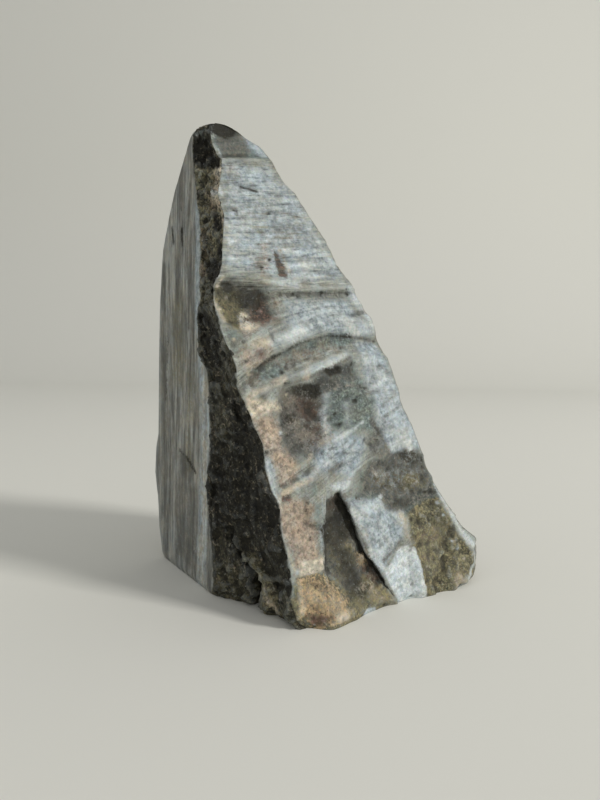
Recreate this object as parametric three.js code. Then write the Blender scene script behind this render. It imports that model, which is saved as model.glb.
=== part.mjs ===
// Soapstone block: a broken wedge of stone, standing on its flat foot and rising to a narrow ridge.
// Millimetres, +Z up, foot on z = 0, middle of the plan on x = y = 0.
// The broad front break faces -Y and leans back; the sawn face is upright and faces -X.
//
// The body is a stack of level sections. Each one runs round the block through its arrises:
// sawn face, side break, front arris, front break, right edge, weathered back.
import * as THREE from "three";

// ---- Overall ----
const CREST = 207; // full height
const BODY_TOP = 202; // height at which the crown starts to round over
const CREST_CENTRE = [-42.5, -14.5];
const CROWN_LEVELS = [203.4, 204.9, 206, 206.7];
const CREST_LEFT = 0.1; // share of the section that is left flat at the very top, squared
const BODY_ROWS = 54;
const FOOT_ROUND = 2.5; // height over which the lower edge rounds under
const FOOT_INSET = 0.9;
const COLUMNS = {
  sawn: 9, sideLow: 6, sideHigh: 8, apron: 7, scar: 5, pale: 6, rind: 8,
  backRight: 8, back: 12, backLeft: 8,
};

// ---- Sawn face: an upright plane, its edges as [height, distance along the face] ----
const SAWN_CORNER = [-42.9, -30.1];
const SAWN_ALONG = [-0.5547, 0.832];
const SAWN_INWARD = [0.832, 0.5547];
const SAWN_BACK_EDGE = [
  [0, 58], [15, 63], [31, 65], [43, 69], [57, 67], [64, 64], [104, 63], [133, 61],
  [157, 57], [171, 49], [182, 42], [196, 29], [204, 21], [CREST, 19],
];
const SAWN_FRONT_EDGE = [
  [0, 0], [5, -3], [18, -2], [33, 2], [48, 5], [65, 1], [88, 2], [99, 5], [105, 13],
  [123, 15], [131, 12], [161, 12], [171, 15], [191, 20], [198, 21], [CREST, 18],
];
const SAWN_WAVER = { size: 17, depth: 0.28, stretch: 3 };

// ---- Front break: a leaning plane y = SETBACK + SKEW x + LEAN z, its lines as [height, x] ----
const FRONT_SETBACK = -62;
const FRONT_SKEW = 0.629;
const FRONT_LEAN = 0.3414;
const FRONT_INWARD = [-0.533, 0.846];
const FRONT_ARRIS = [
  [0, 0], [3, -4], [12, -8], [20, -8], [38, -12.5], [48, -14], [60, -18], [70, -19.5],
  [81, -24], [91, -28], [104, -32], [115, -37], [124, -39], [133, -40], [141, -38], [164, -38],
  [173, -41], [182, -40], [190, -40], [196, -43], [BODY_TOP, -44.5], [CREST, -45],
];
const SCAR_LEFT = [
  [0, 9], [20, 5], [48, 5], [64, 7], [93, 7], [120, -4], [133, -14], [190, -36], [CREST, -43],
];
const SCAR_RIGHT = [
  [0, 39], [9, 32], [22, 23.5], [37, 17.5], [47, 12.5], [57, 13], [64, 13], [93, 16],
  [120, 9], [133, 0], [190, -31.5], [CREST, -41],
];
const RIND_LINE = [
  [0, 51.5], [16, 48.5], [33, 45], [46, 41.5], [63, 38.5], [93, 27], [120, 18.5], [133, 10],
  [190, -26], [CREST, -39],
];
const RIGHT_EDGE = [
  [0, 76], [4, 80.5], [9, 82.5], [14, 83.5], [20, 80.5], [25, 74], [33, 68], [43, 61.5],
  [52, 57], [69, 49], [81, 44], [102, 37], [120, 29], [139, 18.5], [146, 12], [158, 6.5],
  [170, -2], [180, -9], [184, -14], [194, -20], [199, -24], [BODY_TOP, -31], [CREST, -36],
];
const STEP_RUN = 1.1; // plan width of the steep step on each side of the scar

// Relief of the front break. Depths are in mm inwards; ovals are [x, z, half width, half height].
const FRONT_LUMPS = { size: 23, depth: 0.5 };
const FRONT_FACETS = { size: 17, depth: 1.3, gone: 150, full: 120 };
const CAP = { x: -40, z: 190, rise: 0.24, depth: 0.5, tilt: 0.1, soft: 0.8 };
const LEDGE = { x: -10, z: 133.5, rise: 0.1, depth: 1.5, fade: 16, from: -22, full: -16 };
const WAVE = [[-30, 90], [-16, 99], [-4, 104], [10, 110], [30, 112], [40, 110]];
const WAVE_GROOVE = { depth: 2.4, above: 11, below: 6, gone: 45, full: 30 };
const HOLLOWS = [
  { oval: [-29, 128, 14, 12], turn: -0.35, depth: 5 }, // flake gone from the front arris
  { oval: [-4, 79, 14, 16], turn: 0.15, depth: 3 }, // stained hollow in the middle
  { oval: [41, 53, 22, 9.5], turn: -0.1, depth: 2.4 }, // hollow above the rind
  { oval: [17, 86, 4, 4], turn: 0, depth: 1.4 },
  { oval: [10.5, 77, 4, 4], turn: 0, depth: 1.4 },
];
const APRON = { z: 56.5, rise: 0.42, peak: 64, fall: 2.2, x: 8, proud: 1.8, soft: 1.5, low: [8, 20] };
const SWELL = { top: 18.5, lip: 15.5, left: [-1, 7], right: [33, 8], proud: 0.8, foot: 4.4 };
const SCAR = { depth: 1, dip: 4.4, low: [0, 16], high: [51, 43] };
const SCAR_INWARD = [0, 1.15]; // the scar goes straight back, so that its steep step stays thin
const SPALL = { x: 31.4, z: 11, across: 0.7, up: 0.58, dip: 0.26, low: [-6, 8], high: [26, 20] };
const RIND = { size: 9, depth: 1.6, high: [62, 48] };
const CORNER_ROUND = { depth: 2.6, width: 8, high: [30, 6] };

// ---- Side break: between the sawn face and the front arris, t from 0 to 1 across it ----
const SIDE_INWARD = [0.42, 0.907];
const SIDE_HOLLOW = [
  [0, 3], [20, 2.4], [45, 3.6], [70, 2.4], [85, 2], [100, 4], [115, 5], [128, 3],
  [140, 1], [165, 1.2], [180, 2.2], [194, 3], [CREST, 1],
];
const CLEFT_LINE = [
  [0, 0.47], [10, 0.53], [17.5, 0.54], [21.5, 0.37], [27, 0.22], [40, 0.24], [60, 0.34],
  [100, 0.43], [CREST, 0.43],
];
const CLEFT_DEPTH = [[0, 10], [9, 8.5], [17, 6], [22, 4.6], [27, 3.2], [38, 0], [CREST, 0]];
const CLEFT_WIDTH = 3.4;
const CLEFT_LUMP = { away: 6, width: 5, proud: 2.2, high: [32, 20] };
const KNOB = { z: 174, height: 5, proud: 1.8, across: [0.4, 0.8] };
const NOSE = { t: 0.87, width: 0.13, proud: 2.4, high: [20, 2] };
const SIDE_FACETS = { size: 13, depth: 2.4 };
const SIDE_LUMPS = { size: 7.5, depth: 0.8 };
const ARRIS_FADE = 2.5;

// ---- Weathered back: two blunt arrises as [height, x, y] ----
const BACK_RIGHT = [
  [0, 62, 34], [22, 66, 36], [50, 50, 38], [104, 31, 31], [140, 11, 24], [163, -5, 17],
  [190, -26, 2], [BODY_TOP, -38, -9], [CREST, -40, -11],
];
const BACK_LEFT = [
  [0, -26, 56], [30, -30, 60], [70, -29, 58], [104, -34, 52], [140, -37, 43], [163, -42, 33],
  [190, -46, 11], [BODY_TOP, -47, -6], [CREST, -46, -10],
];
const BACK_BULGE = 2.5;
const BACK_PLATES = { size: 31, depth: 4.2 };
const BACK_FACETS = { size: 14, depth: 1.3 };
const BACK_LUMPS = { size: 9, depth: 0.5 };
const FULL_RELIEF_REACH = 55; // where the stone is narrower than this, the back's relief is weaker

// ---- Number tools ----
const lerp = (a, b, t) => a + (b - a) * t;
const lerp2 = (a, b, t) => [lerp(a[0], b[0], t), lerp(a[1], b[1], t)];
const moved = (p, direction, d) => [p[0] + direction[0] * d, p[1] + direction[1] * d];
const between = (low, high, v) => Math.min(high, Math.max(low, v));

// 0 at `from`, 1 at `to`, easing between; the two may come in either order.
function smooth(from, to, v) {
  const t = between(0, 1, (v - from) / (to - from));
  return t * t * (3 - 2 * t);
}

// Straight-line reading of an edge table at a height; `column` picks the value of the row.
function at(table, z, column = 1) {
  let i = 1;
  while (i < table.length - 1 && table[i][0] < z) i++;
  const [low, high] = [table[i - 1], table[i]];
  return lerp(low[column], high[column], between(0, 1, (z - low[0]) / (high[0] - low[0])));
}

// A level hump: 1 in the middle, 0 from `half` away and on.
const hump = (v, half) => Math.max(0, 1 - (v / half) ** 2);

// An oval dish with a crisp rim: 1 in the middle, 0 outside.
function dish(x, z, [cx, cz, halfWidth, halfHeight], turn) {
  const [c, s] = [Math.cos(turn), Math.sin(turn)];
  const u = ((x - cx) * c + (z - cz) * s) / halfWidth;
  const v = ((z - cz) * c - (x - cx) * s) / halfHeight;
  return Math.max(0, 1 - u * u - v * v);
}

// ---- Stone texture: values from -1 to 1 fixed to a lattice in space ----
const HASH_PRIMES = [0x8da6b343, 0xd8163841, 0xcb1ab31f];
const HASH_MIX = 0x5bd1e995;
const DRAW = 57; // steps the lattice on, so that each draw at a corner is its own
const CREASE = 14; // how narrow the creases between facets are
const JITTER = 0.4;
const FACET_TILT = 1.3;
const FACET_STEP = 0.45;

function hash(i, j, k, draw = 0) {
  const mixed = [i + draw * DRAW, j, k].map((n, axis) => Math.imul(n, HASH_PRIMES[axis]));
  let h = mixed[0] ^ mixed[1] ^ mixed[2];
  h = Math.imul(h ^ (h >>> 13), HASH_MIX);
  return (((h ^ (h >>> 15)) >>> 0) / 0xffffffff) * 2 - 1;
}

// Rounded lumps, `size` mm apart.
function lumps(x, y, z, { size, depth }) {
  const p = [x / size, y / size, z / size];
  const cell = p.map(Math.floor);
  const ease = p.map((v, axis) => smooth(0, 1, v - cell[axis]));
  let sum = 0;
  for (let corner = 0; corner < 8; corner++) {
    const step = [corner & 1, (corner >> 1) & 1, corner >> 2];
    const weight = step.reduce((w, s, axis) => w * (s ? ease[axis] : 1 - ease[axis]), 1);
    sum += weight * hash(cell[0] + step[0], cell[1] + step[1], cell[2] + step[2]);
  }
  return depth * sum;
}

// Broken facets about `size` mm across: each cell has its own tilted plane, and the planes meet
// in narrow creases.
function facets(x, y, z, { size, depth }) {
  const p = [x / size, y / size, z / size];
  const home = p.map(Math.floor);
  let sum = 0;
  let total = 0;
  for (let n = 0; n < 27; n++) {
    const step = [n % 3, Math.floor(n / 3) % 3, Math.floor(n / 9)];
    const cell = home.map((c, axis) => c + step[axis] - 1);
    const away = p.map((v, axis) => v - cell[axis] - 0.5 - JITTER * hash(...cell, axis + 1));
    const weight = Math.exp(-CREASE * away.reduce((s, v) => s + v * v, 0));
    const tilt = away.reduce((s, v, axis) => s + v * hash(...cell, axis + 4), 0);
    sum += weight * (FACET_TILT * tilt + FACET_STEP * hash(...cell, 7));
    total += weight;
  }
  return (depth * sum) / total;
}

// ---- Front break ----
const frontY = (x, z) => FRONT_SETBACK + FRONT_SKEW * x + FRONT_LEAN * z;

// Broken top, set back above a level edge and turned a little to the left.
function capRelief(x, z) {
  const edge = CAP.z + CAP.rise * (x - CAP.x);
  const tilt = CAP.tilt * (at(RIGHT_EDGE, z) - x);
  return smooth(edge - CAP.soft, edge + CAP.soft, z) * (CAP.depth + tilt);
}

// Ledge across the face: the stone under it is set back and comes out again lower down.
function ledgeRelief(x, z) {
  const edge = LEDGE.z + LEDGE.rise * (x - LEDGE.x);
  const under = smooth(edge + CAP.soft, edge - CAP.soft, z) * smooth(edge - LEDGE.fade, edge, z);
  return LEDGE.depth * under * smooth(LEDGE.from, LEDGE.full, x);
}

// Wavy groove along the grain of the stone.
function waveRelief(x, z) {
  const above = z - at(WAVE, x);
  const groove = smooth(WAVE_GROOVE.above, 1, above) * smooth(-WAVE_GROOVE.below, 0, above);
  return WAVE_GROOVE.depth * groove * smooth(WAVE_GROOVE.gone, WAVE_GROOVE.full, x);
}

// Apron between the front arris and the scar, proud of the face above it.
function apronRelief(x, z) {
  const top = Math.min(APRON.z + APRON.rise * x, APRON.peak - APRON.fall * Math.max(0, x - APRON.x));
  const left = at(SCAR_LEFT, z);
  const on = smooth(top + APRON.soft, top - APRON.soft, z) * smooth(left + STEP_RUN, left, x);
  return -APRON.proud * on * smooth(...APRON.low, z);
}

// Foot of the apron, swelling out over a small lip.
function swellRelief(x, z) {
  const on = smooth(...SWELL.left, x) * smooth(...SWELL.right, x) * smooth(SWELL.top, SWELL.lip, z);
  return -on * (SWELL.proud + SWELL.foot * smooth(SWELL.top, 2, z));
}

// Long scar: its floor dips to the right and ends at a steep step.
function scarRelief(x, z) {
  const left = at(SCAR_LEFT, z);
  const right = at(SCAR_RIGHT, z);
  const on = smooth(left, left + STEP_RUN, x) * smooth(right + STEP_RUN, right, x);
  const along = smooth(...SCAR.low, z) * smooth(...SCAR.high, z);
  return on * along * (SCAR.depth + SCAR.dip * Math.max(0, (x - left) / (right - left)));
}

// Spall beside the scar: its lower facet falls away towards the right foot.
function spallRelief(x, z) {
  const right = at(SCAR_RIGHT, z);
  const rind = at(RIND_LINE, z);
  const on = smooth(right, right + STEP_RUN, x) * smooth(rind + STEP_RUN, rind - STEP_RUN, x);
  const fall = Math.max(0, SPALL.across * (x - SPALL.x) - SPALL.up * (z - SPALL.z));
  return on * smooth(...SPALL.low, z) * smooth(...SPALL.high, z) * SPALL.dip * fall;
}

// Rough rind at the right foot, rounding back to its edge.
function rindRelief(x, y, z) {
  const rind = at(RIND_LINE, z);
  const rough = smooth(rind - 1, rind + 4, x) * smooth(...RIND.high, z) * facets(x, y, z, RIND);
  const gap = at(RIGHT_EDGE, z) - x;
  const round = smooth(CORNER_ROUND.width, 0, gap) * smooth(...CORNER_ROUND.high, z);
  return rough + CORNER_ROUND.depth * round;
}

function frontPoint(x, z) {
  const y = frontY(x, z);
  const broken = facets(x, y, z, FRONT_FACETS) * smooth(FRONT_FACETS.gone, FRONT_FACETS.full, z);
  const grain = lumps(x, y, z, FRONT_LUMPS) + broken;
  const upper = capRelief(x, z) + ledgeRelief(x, z) + waveRelief(x, z);
  const lower = apronRelief(x, z) + swellRelief(x, z) + spallRelief(x, z);
  const hollow = HOLLOWS.reduce((sum, { oval, turn, depth }) => sum + depth * dish(x, z, oval, turn), 0);
  const worn = moved([x, y], FRONT_INWARD, grain + upper + lower + hollow + rindRelief(x, y, z));
  return moved(worn, SCAR_INWARD, scarRelief(x, z));
}

// ---- Side break, sawn face and back ----
function sideRelief([x, y], t, z, width) {
  const cleft = (t - at(CLEFT_LINE, z)) * width;
  let d = at(SIDE_HOLLOW, z) * Math.sin(Math.PI * t);
  d += at(CLEFT_DEPTH, z) * Math.max(0, 1 - Math.abs(cleft) / CLEFT_WIDTH);
  d -= CLEFT_LUMP.proud * smooth(...CLEFT_LUMP.high, z) * hump(cleft - CLEFT_LUMP.away, CLEFT_LUMP.width);
  d -= KNOB.proud * hump(z - KNOB.z, KNOB.height) * smooth(...KNOB.across, t);
  d -= NOSE.proud * smooth(...NOSE.high, z) * hump(t - NOSE.t, NOSE.width);
  d += facets(x, y, z, SIDE_FACETS) + lumps(x, y, z, SIDE_LUMPS);
  return d * smooth(0, ARRIS_FADE, t * width) * smooth(0, ARRIS_FADE, (1 - t) * width);
}

const sawnPlan = (s) => moved(SAWN_CORNER, SAWN_ALONG, s);

function sawnPoint(s, z, backS, frontS) {
  const fade = smooth(0, ARRIS_FADE, backS - s) * smooth(0, ARRIS_FADE, s - frontS);
  return moved(sawnPlan(s), SAWN_INWARD, fade * lumps(s, 0, z / SAWN_WAVER.stretch, SAWN_WAVER));
}

function backPoint(p, z, axis, t, fade) {
  const toAxis = [axis[0] - p[0], axis[1] - p[1]];
  const reach = Math.hypot(...toAxis);
  const grain = facets(...p, z, BACK_PLATES) + facets(...p, z, BACK_FACETS) + lumps(...p, z, BACK_LUMPS);
  const calm = Math.min(1, reach / FULL_RELIEF_REACH);
  const d = fade * (calm * grain - BACK_BULGE * Math.sin(Math.PI * t));
  return moved(p, [toAxis[0] / reach, toAxis[1] / reach], d);
}

// ---- One level section ----
// Adds `count` points that start at t = 0 and stop short of t = 1, where the next strip starts.
function strip(ring, count, place) {
  for (let i = 0; i < count; i++) ring.push(place(i / count));
}

function section(z) {
  const ring = [];
  const backS = at(SAWN_BACK_EDGE, z);
  const frontS = at(SAWN_FRONT_EDGE, z);
  strip(ring, COLUMNS.sawn, (t) => sawnPoint(lerp(backS, frontS, t), z, backS, frontS));

  const [sideFrom, sideTo] = [sawnPlan(frontS), frontPoint(at(FRONT_ARRIS, z), z)];
  const width = Math.hypot(sideTo[0] - sideFrom[0], sideTo[1] - sideFrom[1]);
  const cleft = at(CLEFT_LINE, z);
  const side = (t) => {
    const p = lerp2(sideFrom, sideTo, t);
    return moved(p, SIDE_INWARD, sideRelief(p, t, z, width));
  };
  strip(ring, COLUMNS.sideLow, (t) => side(lerp(0, cleft, t)));
  strip(ring, COLUMNS.sideHigh, (t) => side(lerp(cleft, 1, t)));

  const lines = [
    [at(FRONT_ARRIS, z), COLUMNS.apron],
    [at(SCAR_LEFT, z), 1],
    [at(SCAR_LEFT, z) + STEP_RUN, COLUMNS.scar],
    [at(SCAR_RIGHT, z), 1],
    [at(SCAR_RIGHT, z) + STEP_RUN, COLUMNS.pale],
    [at(RIND_LINE, z), COLUMNS.rind],
    [at(RIGHT_EDGE, z), 0],
  ];
  for (let i = 0; i + 1 < lines.length; i++)
    strip(ring, lines[i][1], (t) => frontPoint(lerp(lines[i][0], lines[i + 1][0], t), z));

  const corners = [
    frontPoint(at(RIGHT_EDGE, z), z),
    [at(BACK_RIGHT, z, 1), at(BACK_RIGHT, z, 2)],
    [at(BACK_LEFT, z, 1), at(BACK_LEFT, z, 2)],
    sawnPlan(backS),
  ];
  const counts = [COLUMNS.backRight, COLUMNS.back, COLUMNS.backLeft];
  const axis = lerp2(corners[0], corners[3], 0.5);
  for (let i = 0; i < counts.length; i++)
    strip(ring, counts[i], (t) => {
      const fade = (i === 0 ? smooth(0, 0.5, t) : 1) * (i === 2 ? smooth(1, 0.5, t) : 1);
      return backPoint(lerp2(corners[i], corners[i + 1], t), z, axis, t, fade);
    });
  return ring;
}

// ---- The closed body ----
function level(z) {
  const ring = section(z);
  if (z > BODY_TOP) {
    const climb = (z - BODY_TOP) / (CREST - BODY_TOP);
    const share = Math.sqrt(Math.max(CREST_LEFT, 1 - climb * climb));
    return ring.map((p) => lerp2(CREST_CENTRE, p, share));
  }
  const under = FOOT_INSET * (1 - smooth(0, FOOT_ROUND, z));
  return ring.map((p) => lerp2(p, [0, 0], under / Math.hypot(...p)));
}

function blockGeometry() {
  const heights = [0];
  for (let i = 0; i <= BODY_ROWS; i++) heights.push(lerp(FOOT_ROUND, BODY_TOP, i / BODY_ROWS));
  heights.push(...CROWN_LEVELS);
  const rings = heights.map(level);
  const count = rings[0].length;
  const position = rings.flatMap((ring, row) => ring.flatMap((p) => [...p, heights[row]]));
  const index = [];
  for (let row = 0; row + 1 < rings.length; row++)
    for (let i = 0; i < count; i++) {
      const [a, b] = [row * count + i, row * count + ((i + 1) % count)];
      index.push(a, b, b + count, a, b + count, a + count);
    }
  const foot = rings.length * count;
  const crest = foot + 1;
  const lastRow = (rings.length - 1) * count;
  position.push(0, 0, 0, ...CREST_CENTRE, CREST);
  for (let i = 0; i < count; i++) {
    const next = (i + 1) % count;
    index.push(foot, next, i);
    index.push(crest, lastRow + i, lastRow + next);
  }
  const geometry = new THREE.BufferGeometry();
  geometry.setAttribute("position", new THREE.Float32BufferAttribute(position, 3));
  geometry.setIndex(index);
  geometry.computeBoundingBox();
  const centre = geometry.boundingBox.getCenter(new THREE.Vector3());
  geometry.translate(-centre.x, -centre.y, 0);
  return geometry;
}

const stone = new THREE.MeshStandardMaterial({ color: 0x8a8f88, roughness: 0.82, metalness: 0 });
const body = new THREE.Mesh(blockGeometry(), stone);
body.name = "soapstone_block";

const part = new THREE.Group();
part.add(body);
export default part;
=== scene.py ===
"""Soapstone block: a broken wedge of carving stone with one sawn side, standing on its foot.

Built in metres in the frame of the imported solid: +Z up, foot on z = 0, the broad front break
towards -Y, the sawn face towards -X. Outline tables are in millimetres, as on the solid.
"""

import math
from functools import partial

import bpy
import numpy as np
from mathutils import Matrix, Vector


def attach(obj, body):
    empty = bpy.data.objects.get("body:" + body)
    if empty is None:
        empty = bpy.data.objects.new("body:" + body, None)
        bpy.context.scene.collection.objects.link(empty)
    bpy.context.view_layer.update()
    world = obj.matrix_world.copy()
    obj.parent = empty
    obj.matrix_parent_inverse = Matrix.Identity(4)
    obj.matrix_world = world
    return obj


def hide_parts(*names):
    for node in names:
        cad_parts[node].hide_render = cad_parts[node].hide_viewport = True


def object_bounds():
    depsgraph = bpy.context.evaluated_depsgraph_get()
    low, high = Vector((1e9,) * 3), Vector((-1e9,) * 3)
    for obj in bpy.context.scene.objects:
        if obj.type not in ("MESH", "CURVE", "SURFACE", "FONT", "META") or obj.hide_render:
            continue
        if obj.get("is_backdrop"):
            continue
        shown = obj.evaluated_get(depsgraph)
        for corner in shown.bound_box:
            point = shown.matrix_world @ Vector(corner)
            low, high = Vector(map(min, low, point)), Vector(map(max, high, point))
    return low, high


bl_info = {
    "name": "Soapstone block",
    "version": (1, 0, 0),
    "blender": (4, 5, 0),
    "location": "View3D > Sidebar > Soapstone",
    "description": "Broken wedge of carving soapstone with fresh, sawn and weathered faces",
    "category": "Object",
}

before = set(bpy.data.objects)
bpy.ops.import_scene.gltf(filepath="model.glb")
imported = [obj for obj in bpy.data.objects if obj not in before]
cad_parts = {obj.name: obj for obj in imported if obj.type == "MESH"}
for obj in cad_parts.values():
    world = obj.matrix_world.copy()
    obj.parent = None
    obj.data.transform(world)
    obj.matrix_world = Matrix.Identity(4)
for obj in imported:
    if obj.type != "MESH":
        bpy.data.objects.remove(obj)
CAD_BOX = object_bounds()
NODE = "soapstone_block"
MM = 0.001

# ---- Overall ----
CREST = 207  # full height
BODY_TOP = 202  # height at which the crown starts to round over
CREST_CENTRE = (-42.5, -14.5)
CREST_RING = 206.7
CREST_LEFT = 0.1
FOOT_ROUND = 2.5
FOOT_INSET = 0.9
PLAN_MIDDLE = (0.22, -1.73)  # middle of the plan box, taken off so that it lies on the origin
ROWS = 246
FOOT_HEIGHTS = (0, 0.5, 1.1, 1.8)  # heights of the lowest rows, on the rounded edge of the foot
CROWN_ROWS = 8
CROWN_START = 0.2  # share of a quarter turn at which the crown's rows begin
COLUMNS = {
    "sawn": 50, "side_low": 24, "side_high": 34, "apron": 46, "step": 3, "scar": 26,
    "pale": 36, "rind": 38, "back_right": 36, "back": 56, "back_left": 32,
}

# ---- Sawn face: an upright plane, its edges as (height, distance along the face) ----
SAWN_CORNER = (-42.9, -30.1)
SAWN_ALONG = (-0.5547, 0.832)
SAWN_INWARD = (0.832, 0.5547)
SAWN_BACK_EDGE = [
    (0, 58), (15, 63), (31, 65), (43, 69), (57, 67), (64, 64), (104, 63), (133, 61),
    (157, 57), (171, 49), (182, 42), (196, 29), (204, 21), (CREST, 19),
]
SAWN_FRONT_EDGE = [
    (0, 0), (5, -3), (18, -2), (33, 2), (48, 5), (65, 1), (88, 2), (99, 5), (105, 13),
    (123, 15), (131, 12), (161, 12), (171, 15), (191, 20), (198, 21), (CREST, 18),
]
SAWN_WAVER = (17, 0.28)
SAWN_STRETCH = 3  # how far the waver is drawn out upwards

# ---- Front break: a leaning plane y = SETBACK + SKEW x + LEAN z, its lines as (height, x) ----
FRONT_SETBACK = -62
FRONT_SKEW = 0.629
FRONT_LEAN = 0.3414
FRONT_INWARD = (-0.533, 0.846)
FRONT_ARRIS = [
    (0, 0), (3, -4), (12, -8), (20, -8), (38, -12.5), (48, -14), (60, -18), (70, -19.5),
    (81, -24), (91, -28), (104, -32), (115, -37), (124, -39), (133, -40), (141, -38), (164, -38),
    (173, -41), (182, -40), (190, -40), (196, -43), (BODY_TOP, -44.5), (CREST, -45),
]
SCAR_LEFT = [
    (0, 9), (20, 5), (48, 5), (64, 7), (93, 7), (120, -4), (133, -14), (190, -36), (CREST, -43),
]
SCAR_RIGHT = [
    (0, 39), (9, 32), (22, 23.5), (37, 17.5), (47, 12.5), (57, 13), (64, 13), (93, 16),
    (120, 9), (133, 0), (190, -31.5), (CREST, -41),
]
RIND_LINE = [
    (0, 51.5), (16, 48.5), (33, 45), (46, 41.5), (63, 38.5), (93, 27), (120, 18.5), (133, 10),
    (190, -26), (CREST, -39),
]
RIGHT_EDGE = [
    (0, 76), (4, 80.5), (9, 82.5), (14, 83.5), (20, 80.5), (25, 74), (33, 68), (43, 61.5),
    (52, 57), (69, 49), (81, 44), (102, 37), (120, 29), (139, 18.5), (146, 12), (158, 6.5),
    (170, -2), (180, -9), (184, -14), (194, -20), (199, -24), (BODY_TOP, -31), (CREST, -36),
]
STEP_RUN = 1.1  # plan width of the steep step on each side of the scar

# Relief of the front break, depths in mm inwards. Lumps and facets are (size, depth), an edge
# is (x, height, rise), and a pair of places is where a relief is nil and where it is full.
FRONT_LUMPS = (23, 0.5)
FRONT_FACETS = (17, 1.3)
FACETS_FADE = (150, 120)
CAP_EDGE = (-40, 190, 0.24)
CAP_DEPTH = 0.5
CAP_TILT = 0.1  # mm deeper for each mm left of the right edge
CAP_SOFT = 0.8
LEDGE_EDGE = (-10, 133.5, 0.1)
LEDGE_DEPTH = 1.5
LEDGE_FADE = 16
LEDGE_RUN = (-22, -16)
WAVE = [(-30, 90), (-16, 99), (-4, 104), (10, 110), (30, 112), (40, 110)]
WAVE_DEPTH = 2.4
WAVE_ABOVE = (11, 1)
WAVE_BELOW = (-6, 0)
WAVE_RUN = (45, 30)
HOLLOWS = [  # x, z, half width, half height, turn, depth
    (-29, 128, 14, 12, -0.35, 5),
    (-4, 79, 14, 16, 0.15, 3),
    (41, 53, 22, 9.5, -0.1, 2.4),
    (17, 86, 4, 4, 0, 1.4),
    (10.5, 77, 4, 4, 0, 1.4),
]
APRON_EDGE = (0, 56.5, 0.42)
APRON_PEAK = (64, 2.2, 8)  # height, fall and the x it falls from
APRON_PROUD = 1.8
APRON_SOFT = 1.5
APRON_LOW = (8, 20)
SWELL_TOP = (18.5, 15.5)
SWELL_LEFT = (-1, 7)
SWELL_RIGHT = (33, 8)
SWELL_FULL = 2  # height at which the foot is fully swollen
SWELL_PROUD = (0.8, 4.4)  # at the top, and how much more at SWELL_FULL
SCAR_DEPTH = (1, 2.9)  # at its left side, and how much more at its right wall
SCAR_LOW = (0, 16)
SCAR_HIGH = (51, 43)
SCAR_INWARD = (0, 1.15)  # sunk straight back
SPALL_LINE = (31.4, 11, 0.7, 0.58)  # x and height of a point on it, fall along x and along height
SPALL_DIP = 0.26  # mm deeper for each mm of fall
SPALL_LOW = (-6, 8)
SPALL_HIGH = (26, 20)
SPALL_RISE = 5  # mm over which its floor rises to the rind
RIND_FACETS = (9, 1.6)
RIND_HIGH = (62, 48)
RIND_BLEND = (-1, 4)  # mm past the rind line
RIND_CALM = (-2, 9)  # mm in from the right edge
CORNER_ROUND = (2.6, 8)  # depth at the right edge, and mm from it where the rounding begins
CORNER_HIGH = (30, 6)

# ---- Side break: between the sawn face and the front arris, t from 0 to 1 across it ----
SIDE_INWARD = (0.42, 0.907)
SIDE_HOLLOW = [
    (0, 3), (20, 2.4), (45, 3.6), (70, 2.4), (85, 2), (100, 4), (115, 5), (128, 3),
    (140, 1), (165, 1.2), (180, 2.2), (194, 3), (CREST, 1),
]
CLEFT_LINE = [
    (0, 0.47), (10, 0.53), (17.5, 0.54), (21.5, 0.37), (27, 0.22), (40, 0.24), (60, 0.34),
    (100, 0.43), (CREST, 0.43),
]
CLEFT_DEPTH = [(0, 10), (9, 8.5), (17, 6), (22, 4.6), (27, 3.2), (38, 0), (CREST, 0)]
CLEFT_WIDTH = 3.4
CLEFT_LUMP = (6, 5, 2.2)  # away from the cleft, width, how proud
CLEFT_LUMP_HIGH = (32, 20)
KNOB = (174, 5, 1.8)
KNOB_ACROSS = (0.4, 0.8)
NOSE = (0.87, 0.13, 2.4)
NOSE_HIGH = (20, 2)
SIDE_FACETS = (13, 2.4)
SIDE_LUMPS = (7.5, 0.8)
SIDE_CRAGS = (6, 1.5)
ARRIS_FADE = 2.5

# ---- Weathered back: two blunt arrises as (height, x, y) ----
BACK_RIGHT = [
    (0, 62, 34), (22, 66, 36), (50, 50, 38), (104, 31, 31), (140, 11, 24), (163, -5, 17),
    (190, -26, 2), (BODY_TOP, -38, -9), (CREST, -40, -11),
]
BACK_LEFT = [
    (0, -26, 56), (30, -30, 60), (70, -29, 58), (104, -34, 52), (140, -37, 43), (163, -42, 33),
    (190, -46, 11), (BODY_TOP, -47, -6), (CREST, -46, -10),
]
BACK_BULGE = 2.5
BACK_PLATES = (31, 4.2)
BACK_FACETS = (14, 1.3)
BACK_LUMPS = (9, 0.5)
FULL_RELIEF_REACH = 55

# ---- Colours ----
# Kinds of stone colour, in the order they lie over each other. Umber and slate also serve as
# painted shadow and shade, and chalk and cream as painted highlights, where the marks say so.
KINDS = ("green", "pale", "slate", "olive", "ochre", "pink", "cream", "iron", "umber", "chalk")
LIGHT_KINDS = ("pale", "chalk", "pink", "cream")  # these gain ground where the others lose it
SIDE_SPAN = 20


def patch(kind, strength, soft, *points):
    """A mark whose points go round it. Its softness is in mm, as its points are."""
    return kind, strength, soft, 0, points


def line(kind, strength, soft, half_width, *points):
    """A mark that runs along its points, with this half width in mm."""
    return kind, strength, soft, half_width, points


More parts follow.
